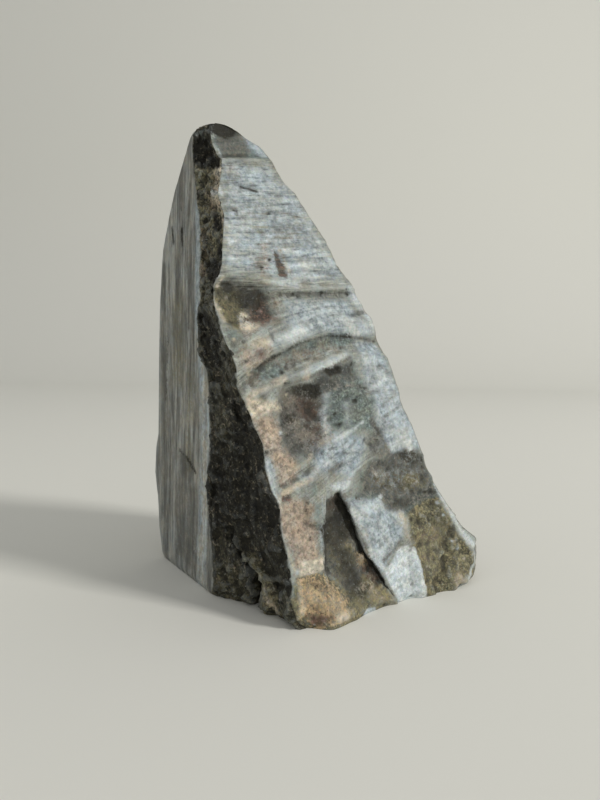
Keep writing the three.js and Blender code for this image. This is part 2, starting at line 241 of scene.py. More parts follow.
# Marks on each face. A strength under 0.8 leaves a speckled mark, and one over 1 a mark without
# holes. Points are (x, height) on the front break, (SIDE_SPAN t, height) on the side break and
# (distance along the face, height) on the sawn face.
FRONT_MARKS = {
    # Cap and scraped upper part
    "cap": patch("green", 1, 1.2, (-44, 198), (-41, 205), (-26, 204), (-19, 194), (-38, 190.5)),
    "cap shade": patch(
        "slate", 0.7, 2, (-44, 198), (-41, 205), (-33, 204), (-28, 196), (-30, 192), (-38, 190.5)),
    "cap dirt": patch("umber", 1.1, 2, (-47, 201), (-45, 209), (-31, 208), (-34, 204), (-38, 199.5)),
    # Painted light: the right end of the cap, a facet turned towards the light, is painted paler.
    "cap end": patch(
        "pale", 0.85, 2.5, (-31.5, 201.5), (-24, 200), (-18, 194), (-25, 194), (-29, 197.5)),
    # Painted highlights along the arris of the cap and of the crest, where the edges catch the light.
    "cap arris": line("chalk", 0.7, 1, 0.5, (-42, 197), (-40.5, 194), (-39, 190)),
    "crest arris": line("chalk", 0.35, 1.5, 0.6, (-44.5, 205), (-42, 197)),
    "scraped": patch(
        "pale", 0.72, 4, (-40, 189), (-21, 193), (-5, 174), (9, 152), (18, 140), (-5, 138), (-31, 140),
        (-37, 144), (-39, 162)),
    "top tan": patch("pink", 0.45, 3, (-38, 188), (-33, 190), (-32, 185), (-37, 184)),
    "top white": patch("chalk", 0.5, 3, (-32, 190), (-23, 192), (-24, 188), (-31, 187)),
    "top grey": patch("slate", 0.45, 3, (-40, 184), (-28, 186), (-28, 182), (-37, 177), (-40, 177)),
    "neck lip": line("chalk", 1, 1.2, 1.3, (-42, 176.5), (-39.5, 173.5)),
    "blue smear": patch("slate", 0.5, 2.5, (-39, 170), (-32.5, 170), (-32.5, 165), (-39, 164)),
    "dark fleck": line("umber", 0.85, 1.1, 0.8, (-34.5, 167), (-32.5, 166.5)),
    "nick": line("umber", 0.9, 1.5, 0.9, (-32, 178), (-29, 178.2), (-25.5, 177.2)),
    "nick lip": line("chalk", 0.95, 1, 0.7, (-31, 175), (-25, 174.5)),
    "nick end": line("chalk", 0.85, 1, 0.7, (-38, 174.5), (-32, 174)),
    "grey smear": patch("slate", 0.5, 3.5, (-32, 172), (-22, 173), (-22, 168), (-32, 167)),
    "grey dash": line("slate", 0.6, 1.5, 0.9, (-21, 168), (-6, 169.5)),
    "white smear": patch("chalk", 0.85, 2.2, (-38, 161), (-30, 162), (-30, 159), (-37, 158)),
    "olive smear": patch("olive", 0.5, 3, (-30, 160), (-22, 161), (-21, 157), (-29, 156)),
    "low white": patch("chalk", 1, 2.2, (-37, 155), (-29, 156), (-32, 152), (-36, 150)),
    "low dash": line("chalk", 0.65, 1, 0.6, (-27, 154), (-21, 155)),
    "faded stain": patch(
        "pink", 0.5, 4, (-25, 156), (-19, 156), (-18, 148), (-19, 137), (-25, 137), (-24, 146)),
    "faded red": patch("iron", 0.5, 2.5, (-24, 153), (-20, 154), (-20, 151), (-23, 150)),
    "faded grey": patch("slate", 0.7, 2.5, (-26, 146), (-22, 148), (-22, 142), (-25, 141)),
    "gouge": patch("slate", 1.2, 1.2, (-18, 152), (-16.5, 151), (-14, 146), (-11.5, 140), (-14.5, 140)),
    "gouge stain": patch("iron", 0.6, 2, (-17.5, 151), (-16, 150), (-12, 140), (-14.5, 140)),
    "gouge lip": line("cream", 0.45, 1, 0.6, (-16, 153.5), (-14, 150), (-10, 142)),
    "white dash": line("chalk", 0.85, 1, 0.7, (-13, 152), (-6, 152.5)),
    "notch lip": line("chalk", 0.7, 1.1, 0.8, (-35, 146), (-33, 145.5), (-27, 146.5)),
    "far grey": patch(
        "slate", 0.42, 4, (-19.5, 165.5), (-4, 166.5), (1, 164), (2, 157), (-3, 155), (-17, 154)),
    "far pale": patch("chalk", 0.5, 4, (-9, 149), (2, 150), (2, 140), (-7, 139)),
    "far dash": line("slate", 0.6, 1, 0.7, (3.5, 143), (10, 143)),
    "far white": patch("chalk", 0.4, 5, (-20, 188), (-8, 172), (-4, 176), (-19, 192)),
    # Painted highlights along the lit right edge of the upper break.
    "right arris": line("chalk", 0.6, 1.5, 1, (-6, 170), (3, 157), (10, 146)),
    "right arris low": line("chalk", 0.85, 2, 1.6, (17, 137), (23, 129), (28, 119)),
    # Painted highlight on the upper lip of the ledge (cream and chalk lines), and painted shadow under
    # it (slate patch).
    "ledge lip": line(
        "cream", 0.4, 1.3, 0.9, (-26, 138), (-17, 136.5), (-7, 136), (5, 136), (15, 137.5)),
    "ledge glint": line(
        "chalk", 0.6, 1.3, 0.8, (-26, 138.5), (-17, 137), (-7, 136.5), (5, 136.5), (15, 138)),
    "under ledge": patch("slate", 0.6, 2.5, (-5, 133.5), (16, 135), (16, 132), (-5, 130.5)),
    # Flake under the ledge
    "flake": patch(
        "slate", 0.85, 2.2, (-38, 135), (-22, 135.5), (-17, 131), (-15, 121), (-24, 118), (-31, 117),
        (-39, 127)),
    # The top of the flake, under its overhanging rim, is painted dark as its shadow; the whole flake is
    # also painted a little darker as shade in its hollow.
    "flake rim shadow": patch("umber", 0.75, 2.2, (-36, 135), (-31, 135), (-31, 132), (-35, 131)),
    "flake shade": patch("umber", 0.38, 4, (-39, 132), (-29, 134), (-27, 121), (-33, 117)),
    "flake dark": patch(
        "umber", 0.74, 3.2, (-30, 136), (-20, 135), (-16, 130), (-20, 126), (-29, 124), (-31, 131)),
    "flake red": patch(
        "iron", 0.72, 3, (-22, 133), (-18, 133), (-16, 124), (-12.5, 120.5), (-21, 118.5), (-25, 121)),
    "flake rind": patch(
        "olive", 0.9, 3, (-37.5, 132.5), (-27, 133), (-26.5, 121), (-30, 115.5), (-34, 117),
        (-37, 121.5), (-40, 129)),
    "flake top lip": line("cream", 0.6, 1.2, 0.5, (-38.5, 133), (-37, 137)),
    "flake arris": line("cream", 0.6, 1.2, 0.9, (-39.5, 128.5), (-38, 124), (-36, 119.5)),
    # Painted highlight on the flake's lower rim, which faces up into the light.
    "flake white": patch(
        "cream", 1, 1.5, (-28.5, 123.5), (-26.5, 123), (-24, 120), (-20, 119), (-23.5, 117),
        (-29, 116.5)),
    "flake glint": patch("chalk", 0.4, 2, (-29, 123), (-26.5, 122.5), (-25, 118), (-29, 117.5)),
    "flake foot": patch("pink", 0.7, 2.3, (-23, 119), (-13, 120.5), (-22, 117), (-27, 113), (-28, 116)),
    "under flake": patch("green", 0.65, 3, (-36, 116.5), (-30, 115.5), (-29.5, 107), (-33, 105)),
    "tan shelf": patch(
        "cream", 0.75, 2.5, (-27, 110), (-25, 112.5), (-19, 113.5), (-18, 110), (-27, 107.5)),
    "tan shelf foot": patch(
        "pink", 0.8, 3.5, (-28.5, 107.5), (-18, 108), (-21.5, 101), (-26.5, 98), (-29.5, 102)),
    "tan shelf red": patch("iron", 0.62, 2.3, (-23.5, 108), (-20.5, 108), (-20, 104.5), (-22.5, 104)),
    "tan shelf lip": line("cream", 0.65, 1, 0.8, (-26, 99), (-24, 97.5)),
    "pale step": patch(
        "pale", 0.85, 4, (-12, 130), (16, 132), (23, 123), (32, 116), (2, 115), (-18, 109), (-17, 114),
        (-12, 118)),
    "white step": patch(
        "chalk", 0.7, 3, (-9.5, 120), (-4.5, 121), (-2, 115), (-9, 111.5), (-16.5, 112.5),
        (-14, 116.5)),
    "white step end": patch("chalk", 0.6, 3, (14, 124), (26, 123), (32, 117), (18, 116)),
    "tan step": patch("pink", 0.5, 2.5, (-17.5, 131), (-13.5, 129.5), (-13, 122.5), (-16, 123)),
    # Wavy groove and the stain under it
    "wave": patch(
        "green", 0.85, 1.5, (-21, 95), (-23, 100), (-14, 106.5), (-5, 111.5), (8, 115.5), (20, 115.5),
        (20, 112), (9, 109), (1, 105), (-8, 102), (-14, 97)),
    "wave shade": patch(
        "slate", 0.3, 2.5, (-22, 98), (-14, 105.5), (-5, 110.5), (8, 114.5), (20, 114.5), (8, 112),
        (-4, 107.5), (-12, 101)),
    "wave rind": patch("olive", 0.5, 2.5, (0, 112), (9, 114), (7, 109), (1, 108)),
    "wave tan": patch("pink", 0.45, 3, (-16, 104), (3, 112), (14, 112), (14, 107.5), (-12, 99)),
    "wave crack": line("umber", 0.75, 1, 0.6, (-22, 100), (-14, 106), (-5, 111), (8, 115), (18, 115)),
    "wave crack end": line("slate", 0.7, 1, 0.6, (18, 115), (31, 113)),
    "wave tail": patch("pink", 0.5, 2.5, (-26, 96), (-20, 99), (-20, 94), (-24, 91)),
    # Painted highlights on the up-facing flank below the wavy groove.
    "wave lip": patch(
        "cream", 0.85, 1.5, (-26, 87.5), (-25, 90.5), (-14, 96.5), (-10, 98), (-10, 95.5), (-23, 88.5)),
    "wave white": patch(
        "chalk", 0.65, 1.8, (-12, 96.5), (-6, 99.5), (8, 105.5), (17, 108.5), (17, 106), (8, 101),
        (-5, 96.5)),
    "wave drip": patch("cream", 0.6, 2.3, (-4, 104), (0, 104), (-1, 95), (-5, 95)),
    # Painted shadow under the lip below the wavy groove.
    "under wave": line("slate", 0.9, 1.3, 0.9, (-12, 93.5), (-6, 95), (2, 97.5), (9, 101), (17, 105)),
    "deep pit": patch("umber", 0.95, 1.6, (6, 99.5), (9, 101.5), (12.5, 101), (13, 98), (8, 96.5)),
    "under pit": patch("slate", 0.8, 2.5, (-1, 97), (4, 96), (13, 98), (14, 91), (8, 89), (3, 90)),
    "stain top": patch("umber", 0.9, 2, (-9, 93), (-3, 94.5), (4, 94), (5, 90), (1, 87), (-7, 89)),
    "stain": patch("slate", 0.9, 3, (-14, 92), (4, 93), (6, 84), (3, 78), (-12, 79)),
    "stain lower": patch(
        "slate", 0.62, 3.5, (-12, 79), (6, 80), (6, 68), (1, 63), (-5, 62), (-10, 65), (-13, 72)),
    "stain dirt": patch("umber", 0.36, 4, (-13, 92), (4, 92), (6, 72), (0, 64), (-8, 65), (-13, 74)),
    "stain green": patch("green", 0.5, 3, (-11, 76), (6, 77), (6, 66), (-4, 62), (-11, 66)),
    "stain dark": patch("umber", 0.65, 2.3, (-12, 80.5), (-5, 80.5), (-5, 77), (-11, 77)),
    "stain red": patch("iron", 0.75, 2.5, (-5, 88), (1, 88), (4, 82), (5, 78), (0, 76), (-3, 80)),
    "stain edge": patch("umber", 0.5, 3, (-1, 93), (3, 93), (3, 77), (0, 77)),
    "stain tan": patch("pink", 0.5, 2, (-4, 85), (2, 84.5), (2, 82.5), (-3, 82.5)),
    "stain grains": patch("pink", 0.36, 4, (-13, 91), (2, 90), (5, 70), (-7, 64), (-13, 74)),
    "stain white": patch("chalk", 0.09, 4, (-13, 91), (2, 92), (5, 70), (-7, 64), (-13, 74)),
    "stain foot": patch("iron", 0.55, 2.3, (0, 76), (5, 77), (5, 71), (3, 68), (1, 70)),
    "tan corner": patch(
        "cream", 0.9, 2.3, (-25, 88), (-14, 87), (-12, 84), (-17, 82), (-23, 81), (-25, 84)),
    "tan strip": patch(
        "pink", 0.9, 3.5, (-23, 81), (-17, 82), (-12, 77), (-13, 71), (-11, 67), (-4, 59), (-8, 54),
        (-12, 53), (-14, 60), (-19, 70)),
    # Grey-green middle and blue-grey right
    "green": patch(
        "green", 0.85, 4, (2, 96), (14, 104), (18, 103), (22, 97), (30, 89), (29, 72), (17, 73),
        (12, 67), (7, 69), (7, 84)),
    "green dark": patch(
        "slate", 0.6, 1.8, (-1, 96), (5, 99), (10, 101), (17, 105), (19, 103), (18.5, 99), (22, 96),
        (19, 93.5), (13, 94.5), (9, 91.5), (3.5, 93.5)),
    "green dirt": patch("umber", 0.36, 3, (-1, 95), (8, 99), (18, 104), (20, 96), (12, 94.5), (4, 93)),
    "green light": patch("pale", 0.75, 2.2, (4, 90), (8.5, 90.5), (9, 73), (5, 72.5)),
    "green pit": line("umber", 0.6, 1.5, 0.8, (10.5, 81), (13, 81)),
    "green pit low": line("umber", 0.55, 1.5, 0.8, (10.5, 76), (14, 76.5)),
    "green below": patch("green", 0.5, 3, (13, 73.5), (25.5, 72.5), (24, 62), (14, 62.5)),
    "green tan": patch("cream", 0.45, 2.5, (6, 81), (9, 80), (9, 67), (5, 68)),
    "green pale": patch("pale", 0.55, 3.5, (14, 86), (18, 87), (18, 75), (14, 76)),
    "green crack": line("slate", 0.7, 1.5, 0.9, (12, 92), (19, 93), (28, 90)),
    "green scratch": line("chalk", 0.7, 1.2, 0.8, (10.5, 70), (17, 73), (23.5, 76.5)),
    "blue": patch(
        "pale", 1.15, 4, (22, 111), (32, 111), (37, 98), (43, 85), (50, 69), (52, 63), (38, 62),
        (33, 68), (31, 77), (29, 88), (25, 95)),
    "blue bloom": patch("chalk", 0.4, 4, (24, 106), (31, 109), (42, 84), (48, 68), (42, 64), (34, 78)),
    # Painted highlight on a bright streak of the blue-grey right.
    "blue flash": patch("chalk", 1, 1.2, (25, 90), (29, 93), (34, 97), (35, 95), (31, 92), (28, 90)),
    "blue scratch": line("chalk", 0.7, 1, 0.7, (29, 96), (34, 100)),
    "blue white": patch("chalk", 0.6, 2.3, (36, 80), (41, 80), (41, 74), (37, 74)),
    # Painted highlight along the lit right edge.
    "blue arris": line("chalk", 0.85, 1.2, 1.1, (43, 69), (46, 64)),
    "blue crack high": line("slate", 0.6, 1, 0.8, (32, 101.5), (36, 98.5)),
    "blue crack": line("slate", 0.65, 1, 0.7, (31, 90), (25, 89)),
    "blue crack low": line("slate", 0.55, 1, 0.7, (33, 83.5), (39, 88)),
    "blue crack foot": line("slate", 0.55, 1, 0.7, (35, 79), (42, 82.5)),
    "green arris": line("slate", 0.8, 1.4, 0.9, (28, 77), (31, 72.5), (33, 66), (35.5, 61.5)),
    "green foot": patch("slate", 0.65, 2.5, (24, 64), (30, 69), (33, 67), (33, 61), (27, 61)),
    # Streaked ledges over the scar
    "cream ledge": line("cream", 0.9, 1, 0.9, (-12, 51), (-8, 53), (-4, 54), (-1, 56)),
    "white ledge": line("chalk", 0.75, 1.3, 1.1, (-4, 56), (0, 57), (3, 59), (8, 61)),
    "upper ledge": line("cream", 0.6, 1.2, 0.8, (-8, 59), (-3, 61), (0, 64)),
    "low pale": patch("pale", 0.85, 4, (0, 70), (12, 73), (24, 69), (18, 55), (2, 56)),
    "ledge end": patch("chalk", 0.9, 1.8, (7, 53), (18, 53), (17, 50), (14, 48), (9, 49)),
    "ledge rise": line("chalk", 0.7, 1.2, 1, (15, 52), (18, 55), (21, 58)),
    "ledge shade": patch("slate", 0.75, 1.8, (-1, 53), (2, 57), (10, 55), (14, 61), (5, 58)),
    "ledge crack": line("slate", 0.7, 1.2, 0.8, (8, 55), (12, 58), (14, 60)),
    "ledge green": patch("green", 0.7, 2.2, (-1, 54), (2, 55), (1, 48), (-1, 49)),
    "ledge pale": patch("pale", 1, 3.5, (11, 70), (25, 70), (23, 59), (17, 54), (12, 56)),
    "ledge scratch": line("slate", 0.55, 1, 0.6, (15, 64), (19, 69)),
    # Pale arris: worn stone, and a painted highlight along the edge.
    "arris pale": patch("pale", 0.85, 1.8, (-18, 66), (-15, 63), (-13, 50), (-17, 50), (-19, 57)),
    "arris white": line("chalk", 0.75, 1.2, 0.9, (-18, 63), (-16.5, 56), (-15, 49)),
    "red pit": patch("iron", 0.95, 1.3, (-12.5, 50.5), (-8.5, 51.5), (-9, 48.5), (-13, 48)),
    "red pit floor": line("umber", 0.6, 1, 0.8, (-12, 50), (-9.5, 50.5)),
    # Pink facet, ochre foot and scar
    "facet": patch(
        "pink", 0.85, 2.5, (-14.5, 46), (-5, 50), (0, 47), (2, 32), (3, 22), (-7, 22), (-11, 32),
        (-14, 40)),
    "facet shade": patch("green", 0.55, 2.3, (-2, 49), (4, 47), (5, 24), (2, 35), (-2, 43)),
    "facet red": patch("iron", 0.4, 3, (-7, 43), (-2, 42), (-2, 36), (-6, 38)),
    "facet toe": patch("cream", 1.3, 1.2, (-6, 26), (4.5, 25), (4.5, 21), (-5, 20.5)),
    "facet arris": line("cream", 0.75, 1.2, 0.9, (-10, 31), (-8, 25), (-6.5, 21)),
    # Painted highlight on the facet's right edge, a riser that faces the light.
    "facet edge": line("pale", 0.75, 1, 0.7, (3.5, 48), (4, 28)),
    "facet top": line("cream", 0.55, 1.2, 0.8, (-14, 52), (-14, 45)),
    "foot": patch(
        "olive", 0.9, 2.3, (-6, 20), (3, 20), (10, 16), (14, 11), (27, 7), (39, 0), (11, -1), (0, -1),
        (-6, 4), (-9, 11)),
    "foot ochre": patch(
        "ochre", 0.95, 2.5, (-5, 19), (3, 18.5), (10, 13), (13, 8), (13, 2), (2, 1), (-3, 8)),
    "foot cream": patch("cream", 0.4, 3.5, (-2, 15), (8, 12), (11, 8), (10, 5), (3, 7), (0, 9)),
    "foot rust": patch("iron", 0.8, 1.8, (-1, 5), (6, 6), (8, 3.5), (1, 2)),
    "foot light": line("cream", 0.5, 1.5, 1.1, (-6, 19), (-4.5, 12), (-3, 7)),
    "foot crust": patch("cream", 0.7, 2.2, (6, 7), (15, 4), (13, 1), (6, 2)),
    "foot chip": line("chalk", 0.95, 1, 1.2, (23.5, 1), (27, 0.5)),
    "foot arris": patch("green", 0.8, 2.2, (-9, 19), (-5, 16), (-4, 8), (-2, 0), (-6, 5), (-9, 11)),
    "foot far": patch("cream", 0.45, 2.5, (21, 12), (27, 11), (27, 7), (21, 8)),
    "scar": patch(
        "slate", 0.9, 1.1, (5, 46), (14, 48), (16, 44), (22, 32), (27, 22), (22, 11), (14, 9), (10, 15),
        (4, 20)),
    "scar top": patch("umber", 0.6, 2.2, (6, 46), (14, 48), (16, 44), (19, 36), (13, 35), (6, 39)),
    "scar red": patch("iron", 0.65, 2.2, (8, 47), (13.5, 47.5), (15.5, 41.5), (13.5, 38.5), (6, 41.5)),
    "scar middle": patch("umber", 0.75, 2.5, (3, 41), (18, 39), (21, 27), (13, 27), (4, 31.5)),
    "scar rind": patch("olive", 0.55, 3.5, (7, 35), (17, 33), (22, 22), (18, 13), (9, 17)),
    "scar low": patch("umber", 0.62, 3, (10, 26), (17, 26), (21, 16), (28, 9), (22, 5), (14, 10)),
    # Painted shadow cast by the scar's proud right wall.
    "scar wall shadow": line(
        "umber", 1, 0.9, 0.5, (12.5, 47), (16.5, 39), (18.5, 35), (21.5, 28), (24.5, 21.5), (28, 15.5),
        (33, 8.5), (37, 3.5)),
    "scar ochre": patch("ochre", 0.75, 2, (19, 24), (22.5, 23), (25, 17), (20.5, 17)),
    "scar rust": patch("iron", 0.65, 2, (21.5, 17.5), (25.5, 17), (32, 11), (29, 9), (22, 14)),
    "scar pale": patch("cream", 0.25, 3, (19, 11.5), (25.5, 10), (39, 0), (33, 0), (19.5, 5)),
    "scar shade": patch("umber", 0.36, 4, (5, 32), (22, 24), (30, 12), (20, 4), (9, 14)),
    "scar foot": patch("olive", 0.95, 2.2, (22, 15), (33, 7), (41, 0), (28, 1), (19, 7)),
    # Pale facet, spall, brow and rind
    "pale facet": patch(
        "pale", 1.2, 2, (16, 45), (32, 45), (35, 38), (42, 37), (41, 26), (38, 22), (31, 15), (28, 19),
        (24, 32)),
    # Painted highlight on the proud edge beside the shadow of the scar's wall.
    "pale facet edge": line(
        "chalk", 0.8, 1.5, 1.1, (18.5, 40), (23, 32), (26.5, 25), (30, 18), (34, 13)),
    "pale facet white": patch("chalk", 0.65, 2.2, (22, 42), (30, 44), (31, 39), (24, 37)),
    "pale facet toe": patch("chalk", 0.65, 2, (28, 25), (33, 23), (33, 20), (30, 18)),
    "pale facet green": patch("green", 0.6, 2.3, (25, 36), (28, 35), (32, 28), (28, 29)),
    "pale facet tan": patch("cream", 0.5, 2.5, (40, 37), (46, 35), (45, 24), (41, 27)),
    "spall crack": line("slate", 0.8, 1.1, 0.8, (32, 18.5), (36, 21), (40, 24.5)),
    "spall": patch(
        "chalk", 1.35, 1, (32, 14), (39, 22), (43, 23), (48, 17), (50, 11), (52, -1), (40, 0), (36, 7)),
    # Painted highlight on the spall's lit right edge.
    "spall edge": line("chalk", 1, 0.9, 0.8, (46.5, 20.5), (49.5, 13.5), (50.5, 7), (52, -0.5)),
    "brow": patch(
        "slate", 0.78, 2.5, (22, 53), (25, 60), (36, 61), (41, 63), (50, 63), (55, 56), (59, 48),
        (63, 40), (54, 39), (43, 37), (35, 38), (31, 43), (20, 45)),
    "brow green": patch("green", 1.2, 4, (20, 56), (40, 62), (60, 50), (66, 38), (44, 34), (20, 44)),
    "brow rind": patch(
        "olive", 0.3, 4, (25, 56), (40, 54), (55, 53), (60, 43), (51, 42), (40, 46), (27, 46)),
    # Painted shadow under the proud stone over the brow.
    "brow top": patch("umber", 0.6, 2.5, (40, 62), (50, 62), (54, 57), (43, 57)),
    "brow foot": patch("umber", 0.65, 2.2, (39, 44), (47, 41), (45, 37), (38, 40)),
    "brow dirt": patch("umber", 0.42, 3, (21, 51), (26, 52), (32, 48), (31, 45), (20, 46)),
    "brow grains": patch("chalk", 0.2, 5, (25, 58), (50, 61), (58, 48), (42, 43), (25, 47)),
    "brow grit": patch("umber", 0.3, 5, (25, 58), (50, 61), (60, 46), (42, 41), (25, 46)),
    "brow ochre": patch("olive", 1, 2.5, (43, 49), (48, 52), (52, 51), (53, 46), (47, 45), (42, 46)),
    "brow yellow": patch("cream", 0.32, 3, (43, 49), (48, 51.5), (52, 50), (52, 46), (44, 46)),
    "brow crack": line("umber", 0.65, 1.2, 0.9, (52, 44), (60, 42.5)),
    "brow scratch": line("cream", 0.6, 1.2, 0.9, (28, 56.5), (30.5, 53)),
    "brow lip": line("cream", 0.6, 1.4, 1, (44, 46.5), (46.5, 49.5)),
    "rind": patch(
        "olive", 1, 1.3, (44, 36), (54, 40), (61, 41), (65, 33), (70, 24), (75, 17), (83, 11), (82, 4),
        (78, -3), (66, -2), (53, -3), (51, 7), (50, 15), (45, 24)),
    "rind dark": patch("umber", 0.26, 4, (60, 38), (65, 28), (65, 18), (58, 21)),
    "rind tan": patch("pink", 0.3, 4.5, (49, 30), (62, 25), (61, 8), (51, 8)),
    "rind crust": patch("cream", 0.55, 2.5, (67, 8), (73, 5), (76, -1), (66, 0)),
    # Painted highlights along the lit right rim.
    "rind edge": line(
        "chalk", 0.85, 1.5, 1.3, (60, 46), (63, 39.5), (66, 33.5), (71, 26.5), (74.5, 21.5), (79, 17)),
    "rind corner": line("chalk", 0.7, 1.6, 1.1, (80.5, 16), (81.5, 9), (74.5, 4), (69.5, -1.5)),
}
SIDE_MARKS = {
    "crown": patch("umber", 1, 3, (-2, 204), (22, 201), (17, 186), (0, 188)),
    "neck rind": patch("olive", 0.7, 3, (0, 188), (18, 186), (14, 179), (4, 179)),
    "neck tan": patch("pink", 0.5, 3, (4, 177), (14, 175), (14, 165), (10, 166)),
    "neck pale": patch("cream", 0.75, 2.5, (12, 187), (22, 188), (22, 165), (15, 167), (11, 176)),
    "neck white": patch("cream", 0.8, 2, (16, 173), (21, 171), (20, 158), (17, 163)),
    "neck chip": line("chalk", 0.95, 1.2, 1.2, (14, 175), (20, 173.5)),
    "crown rim": line("chalk", 0.5, 1.5, 0.9, (3, 203), (9, 204), (20, 201.5)),
    "neck dark": patch("umber", 1, 2, (0, 179), (4, 180), (3, 177), (1, 172), (-1, 173)),
    "neck green": patch("green", 0.6, 3, (1, 172), (6, 171), (9, 166), (4, 161), (-1, 163)),
    "nape high": patch("umber", 1, 1.8, (12, 166), (18, 165), (18, 157), (13, 158)),
    "nape": patch("umber", 1, 2, (12, 155), (19, 156), (20, 146), (14, 147)),
    "nape rust": patch("iron", 0.45, 4, (-1, 162), (8, 161), (7, 149), (0, 148)),
    "nape low": patch("umber", 1, 2.2, (4, 146), (15, 146), (22, 139), (15, 134), (6, 137)),
    "nape tan": patch("pink", 0.4, 3, (-1, 145), (3, 145), (5, 135), (-1, 135)),
    "shoulder rind": patch("olive", 0.6, 3, (0, 138), (9, 133), (8, 127), (0, 128)),
    "shoulder": patch("umber", 0.85, 3, (-1, 125), (14, 126), (13, 100), (0, 98)),
    "shoulder rust": patch("iron", 0.45, 3, (0, 120), (5, 119), (4, 113), (0, 113)),
    "belly": patch("umber", 1.15, 3.5, (10, 92), (20, 86), (19, 20), (15.5, 24), (9, 40), (7, 60)),
    # Painted shadow in the deep cleft, over the dark skin.
    "cleft": patch(
        "umber", 1.15, 1.2, (2.5, 25), (3, 27), (6, 24), (8.5, 22), (10.5, 19), (10.5, 12.5), (9.5, 4),
        (8.5, 4), (8.5, 15), (7, 18), (5, 21)),
    "bank": patch(
        "olive", 1.3, 2, (7.5, 22.5), (11, 25), (13, 21), (15, 16), (15.5, 8), (15, 0), (12, 0),
        (11.5, 8), (11, 15), (9.5, 20)),
    "bank lit": patch(
        "cream", 0.3, 3, (11, 19), (13.5, 18), (15, 12), (14.5, 2), (12.5, 4), (11.5, 13)),
    "cleft bank": patch(
        "olive", 0.8, 2.5, (6, 24), (11, 27), (13.5, 20), (15.5, 13), (16.5, 6), (16.5, -3), (13, -2),
        (11, 9), (10, 14)),
    "cleft lip": line("cream", 0.6, 1.2, 0.9, (13, 12), (13.5, 8), (14.5, 3.5)),
    "foot": patch("olive", 0.7, 3, (0, 36), (4, 31), (7, 19), (9, 14), (8, 3), (2, -3), (0, 1)),
    "foot green": patch("green", 0.5, 5, (-2, 34), (22, 34), (22, -3), (-2, -3)),
    "foot dark": patch("umber", 1, 2.3, (14, 31), (18, 32), (18, 9), (15, 6), (15, 18), (14, 24)),
}
SAWN_MARKS = {
    "upper strip": patch("pale", 1, 2.3, (17, 173), (11, 172), (11, 120), (6, 85), (12, 85), (18, 130)),
    "lower strip": patch("pale", 0.9, 3, (12, 85), (2, 86), (3, 51), (7, 0), (16, -1), (13, 49)),
    "strip grains": patch("cream", 0.42, 4, (13, 125), (4, 88), (2, 51), (6, 0), (14, -1), (12, 49)),
    "brown band": patch("olive", 0.46, 5, (45, 136), (30, 135), (28, 89), (46, 88)),
    "brown band foot": patch("olive", 0.45, 5, (28, 98), (19, 98), (21, 52), (30, 50)),
    "far band": patch("slate", 0.5, 5, (60, 112), (50, 112), (51, 21), (62, 18)),
    "pale foot": patch("pale", 0.25, 5, (62, 24), (30, 21), (25, -3), (56, -1)),
    "grey foot": patch("slate", 0.55, 4, (40, 46), (14, 46), (16, 4), (40, 8)),
    "cut": line("umber", 0.8, 1.2, 0.7, (35, 59.5), (27, 57), (16, 51)),
    "cut shade": patch("slate", 0.55, 3, (37, 60), (28, 60), (17, 53), (23, 44), (35, 47)),
    "arris line": line("chalk", 0.65, 1.2, 0.6, (5.5, 32.5), (5.5, 0.5)),
    "arris line high": line("chalk", 0.5, 1.2, 0.5, (4, 77), (4.5, 50)),
    "top nick": line("umber", 0.8, 1.2, 0.9, (35, 179), (33, 172)),
    "top line": line("slate", 0.8, 1.5, 0.8, (24, 182), (26, 150), (25, 118)),
    "front line": line("slate", 0.7, 1.5, 0.7, (19, 150), (20, 112), (18, 88)),
    "far line": line("slate", 0.8, 2, 1, (56, 150), (54, 100), (57, 60)),
    "nick": line("umber", 0.8, 1.2, 0.9, (32.5, 163), (32, 156)),
    "far nick": line("umber", 0.8, 1.2, 0.9, (45, 166), (43, 159)),
    "far scratch": line("umber", 0.6, 1.2, 0.5, (51, 117), (54, 82)),
    "scratch": line("slate", 0.6, 1.2, 0.8, (40, 84), (41, 63)),
    "middle scratch": line("slate", 0.6, 1.8, 0.8, (23.5, 107), (25, 86)),
    "low scratch": line("umber", 0.55, 1, 0.4, (19.5, 24), (18, 10)),
}
# Small pits and chips on the front break, as (x, height)
FRONT_SPOTS = {
    "umber": [
        (-40, 185), (-33, 166), (-20, 168), (-22, 143), (-19, 147), (-33, 137), (-8, 132.5),
        (-6, 131.5), (5, 134), (16, 137), (17, 134.5), (-23, 124), (-28, 111), (-27, 103),
        (-12, 98.5), (-11, 94), (5, 65), (-3, 68), (-9, 73), (11, 80.5), (13, 76), (20, 86),
        (30, 68), (18, 102), (-18, 67), (-3, 44), (-3, 47), (-1, 33), (-13, 42), (33, 1),
        (36, 48), (50, 50), (46, 33), (48, 25), (65, 27), (67, 15), (63, 8), (55, 31), (58, 14),
    ],
    "cream": [
        (-37, 124), (-34, 129), (-32, 112), (-10, 89), (57, 20), (68, 20), (65, 35), (73, 12),
        (60, 31), (54, 12),
    ],
    "chalk": [
        (-24, 82), (-12, 74), (-6, 22), (32, 44), (70, 17), (67, 20.5), (76, 18), (78, 13),
        (62.5, 32.5), (60.5, 38), (73, 4), (70, 1),
    ],
    "iron": [(2, 69), (-21, 106), (13, 21)],
}
SPOT = (0.85, 1.2, 0.7)  # strength, softness and radius of a small spot
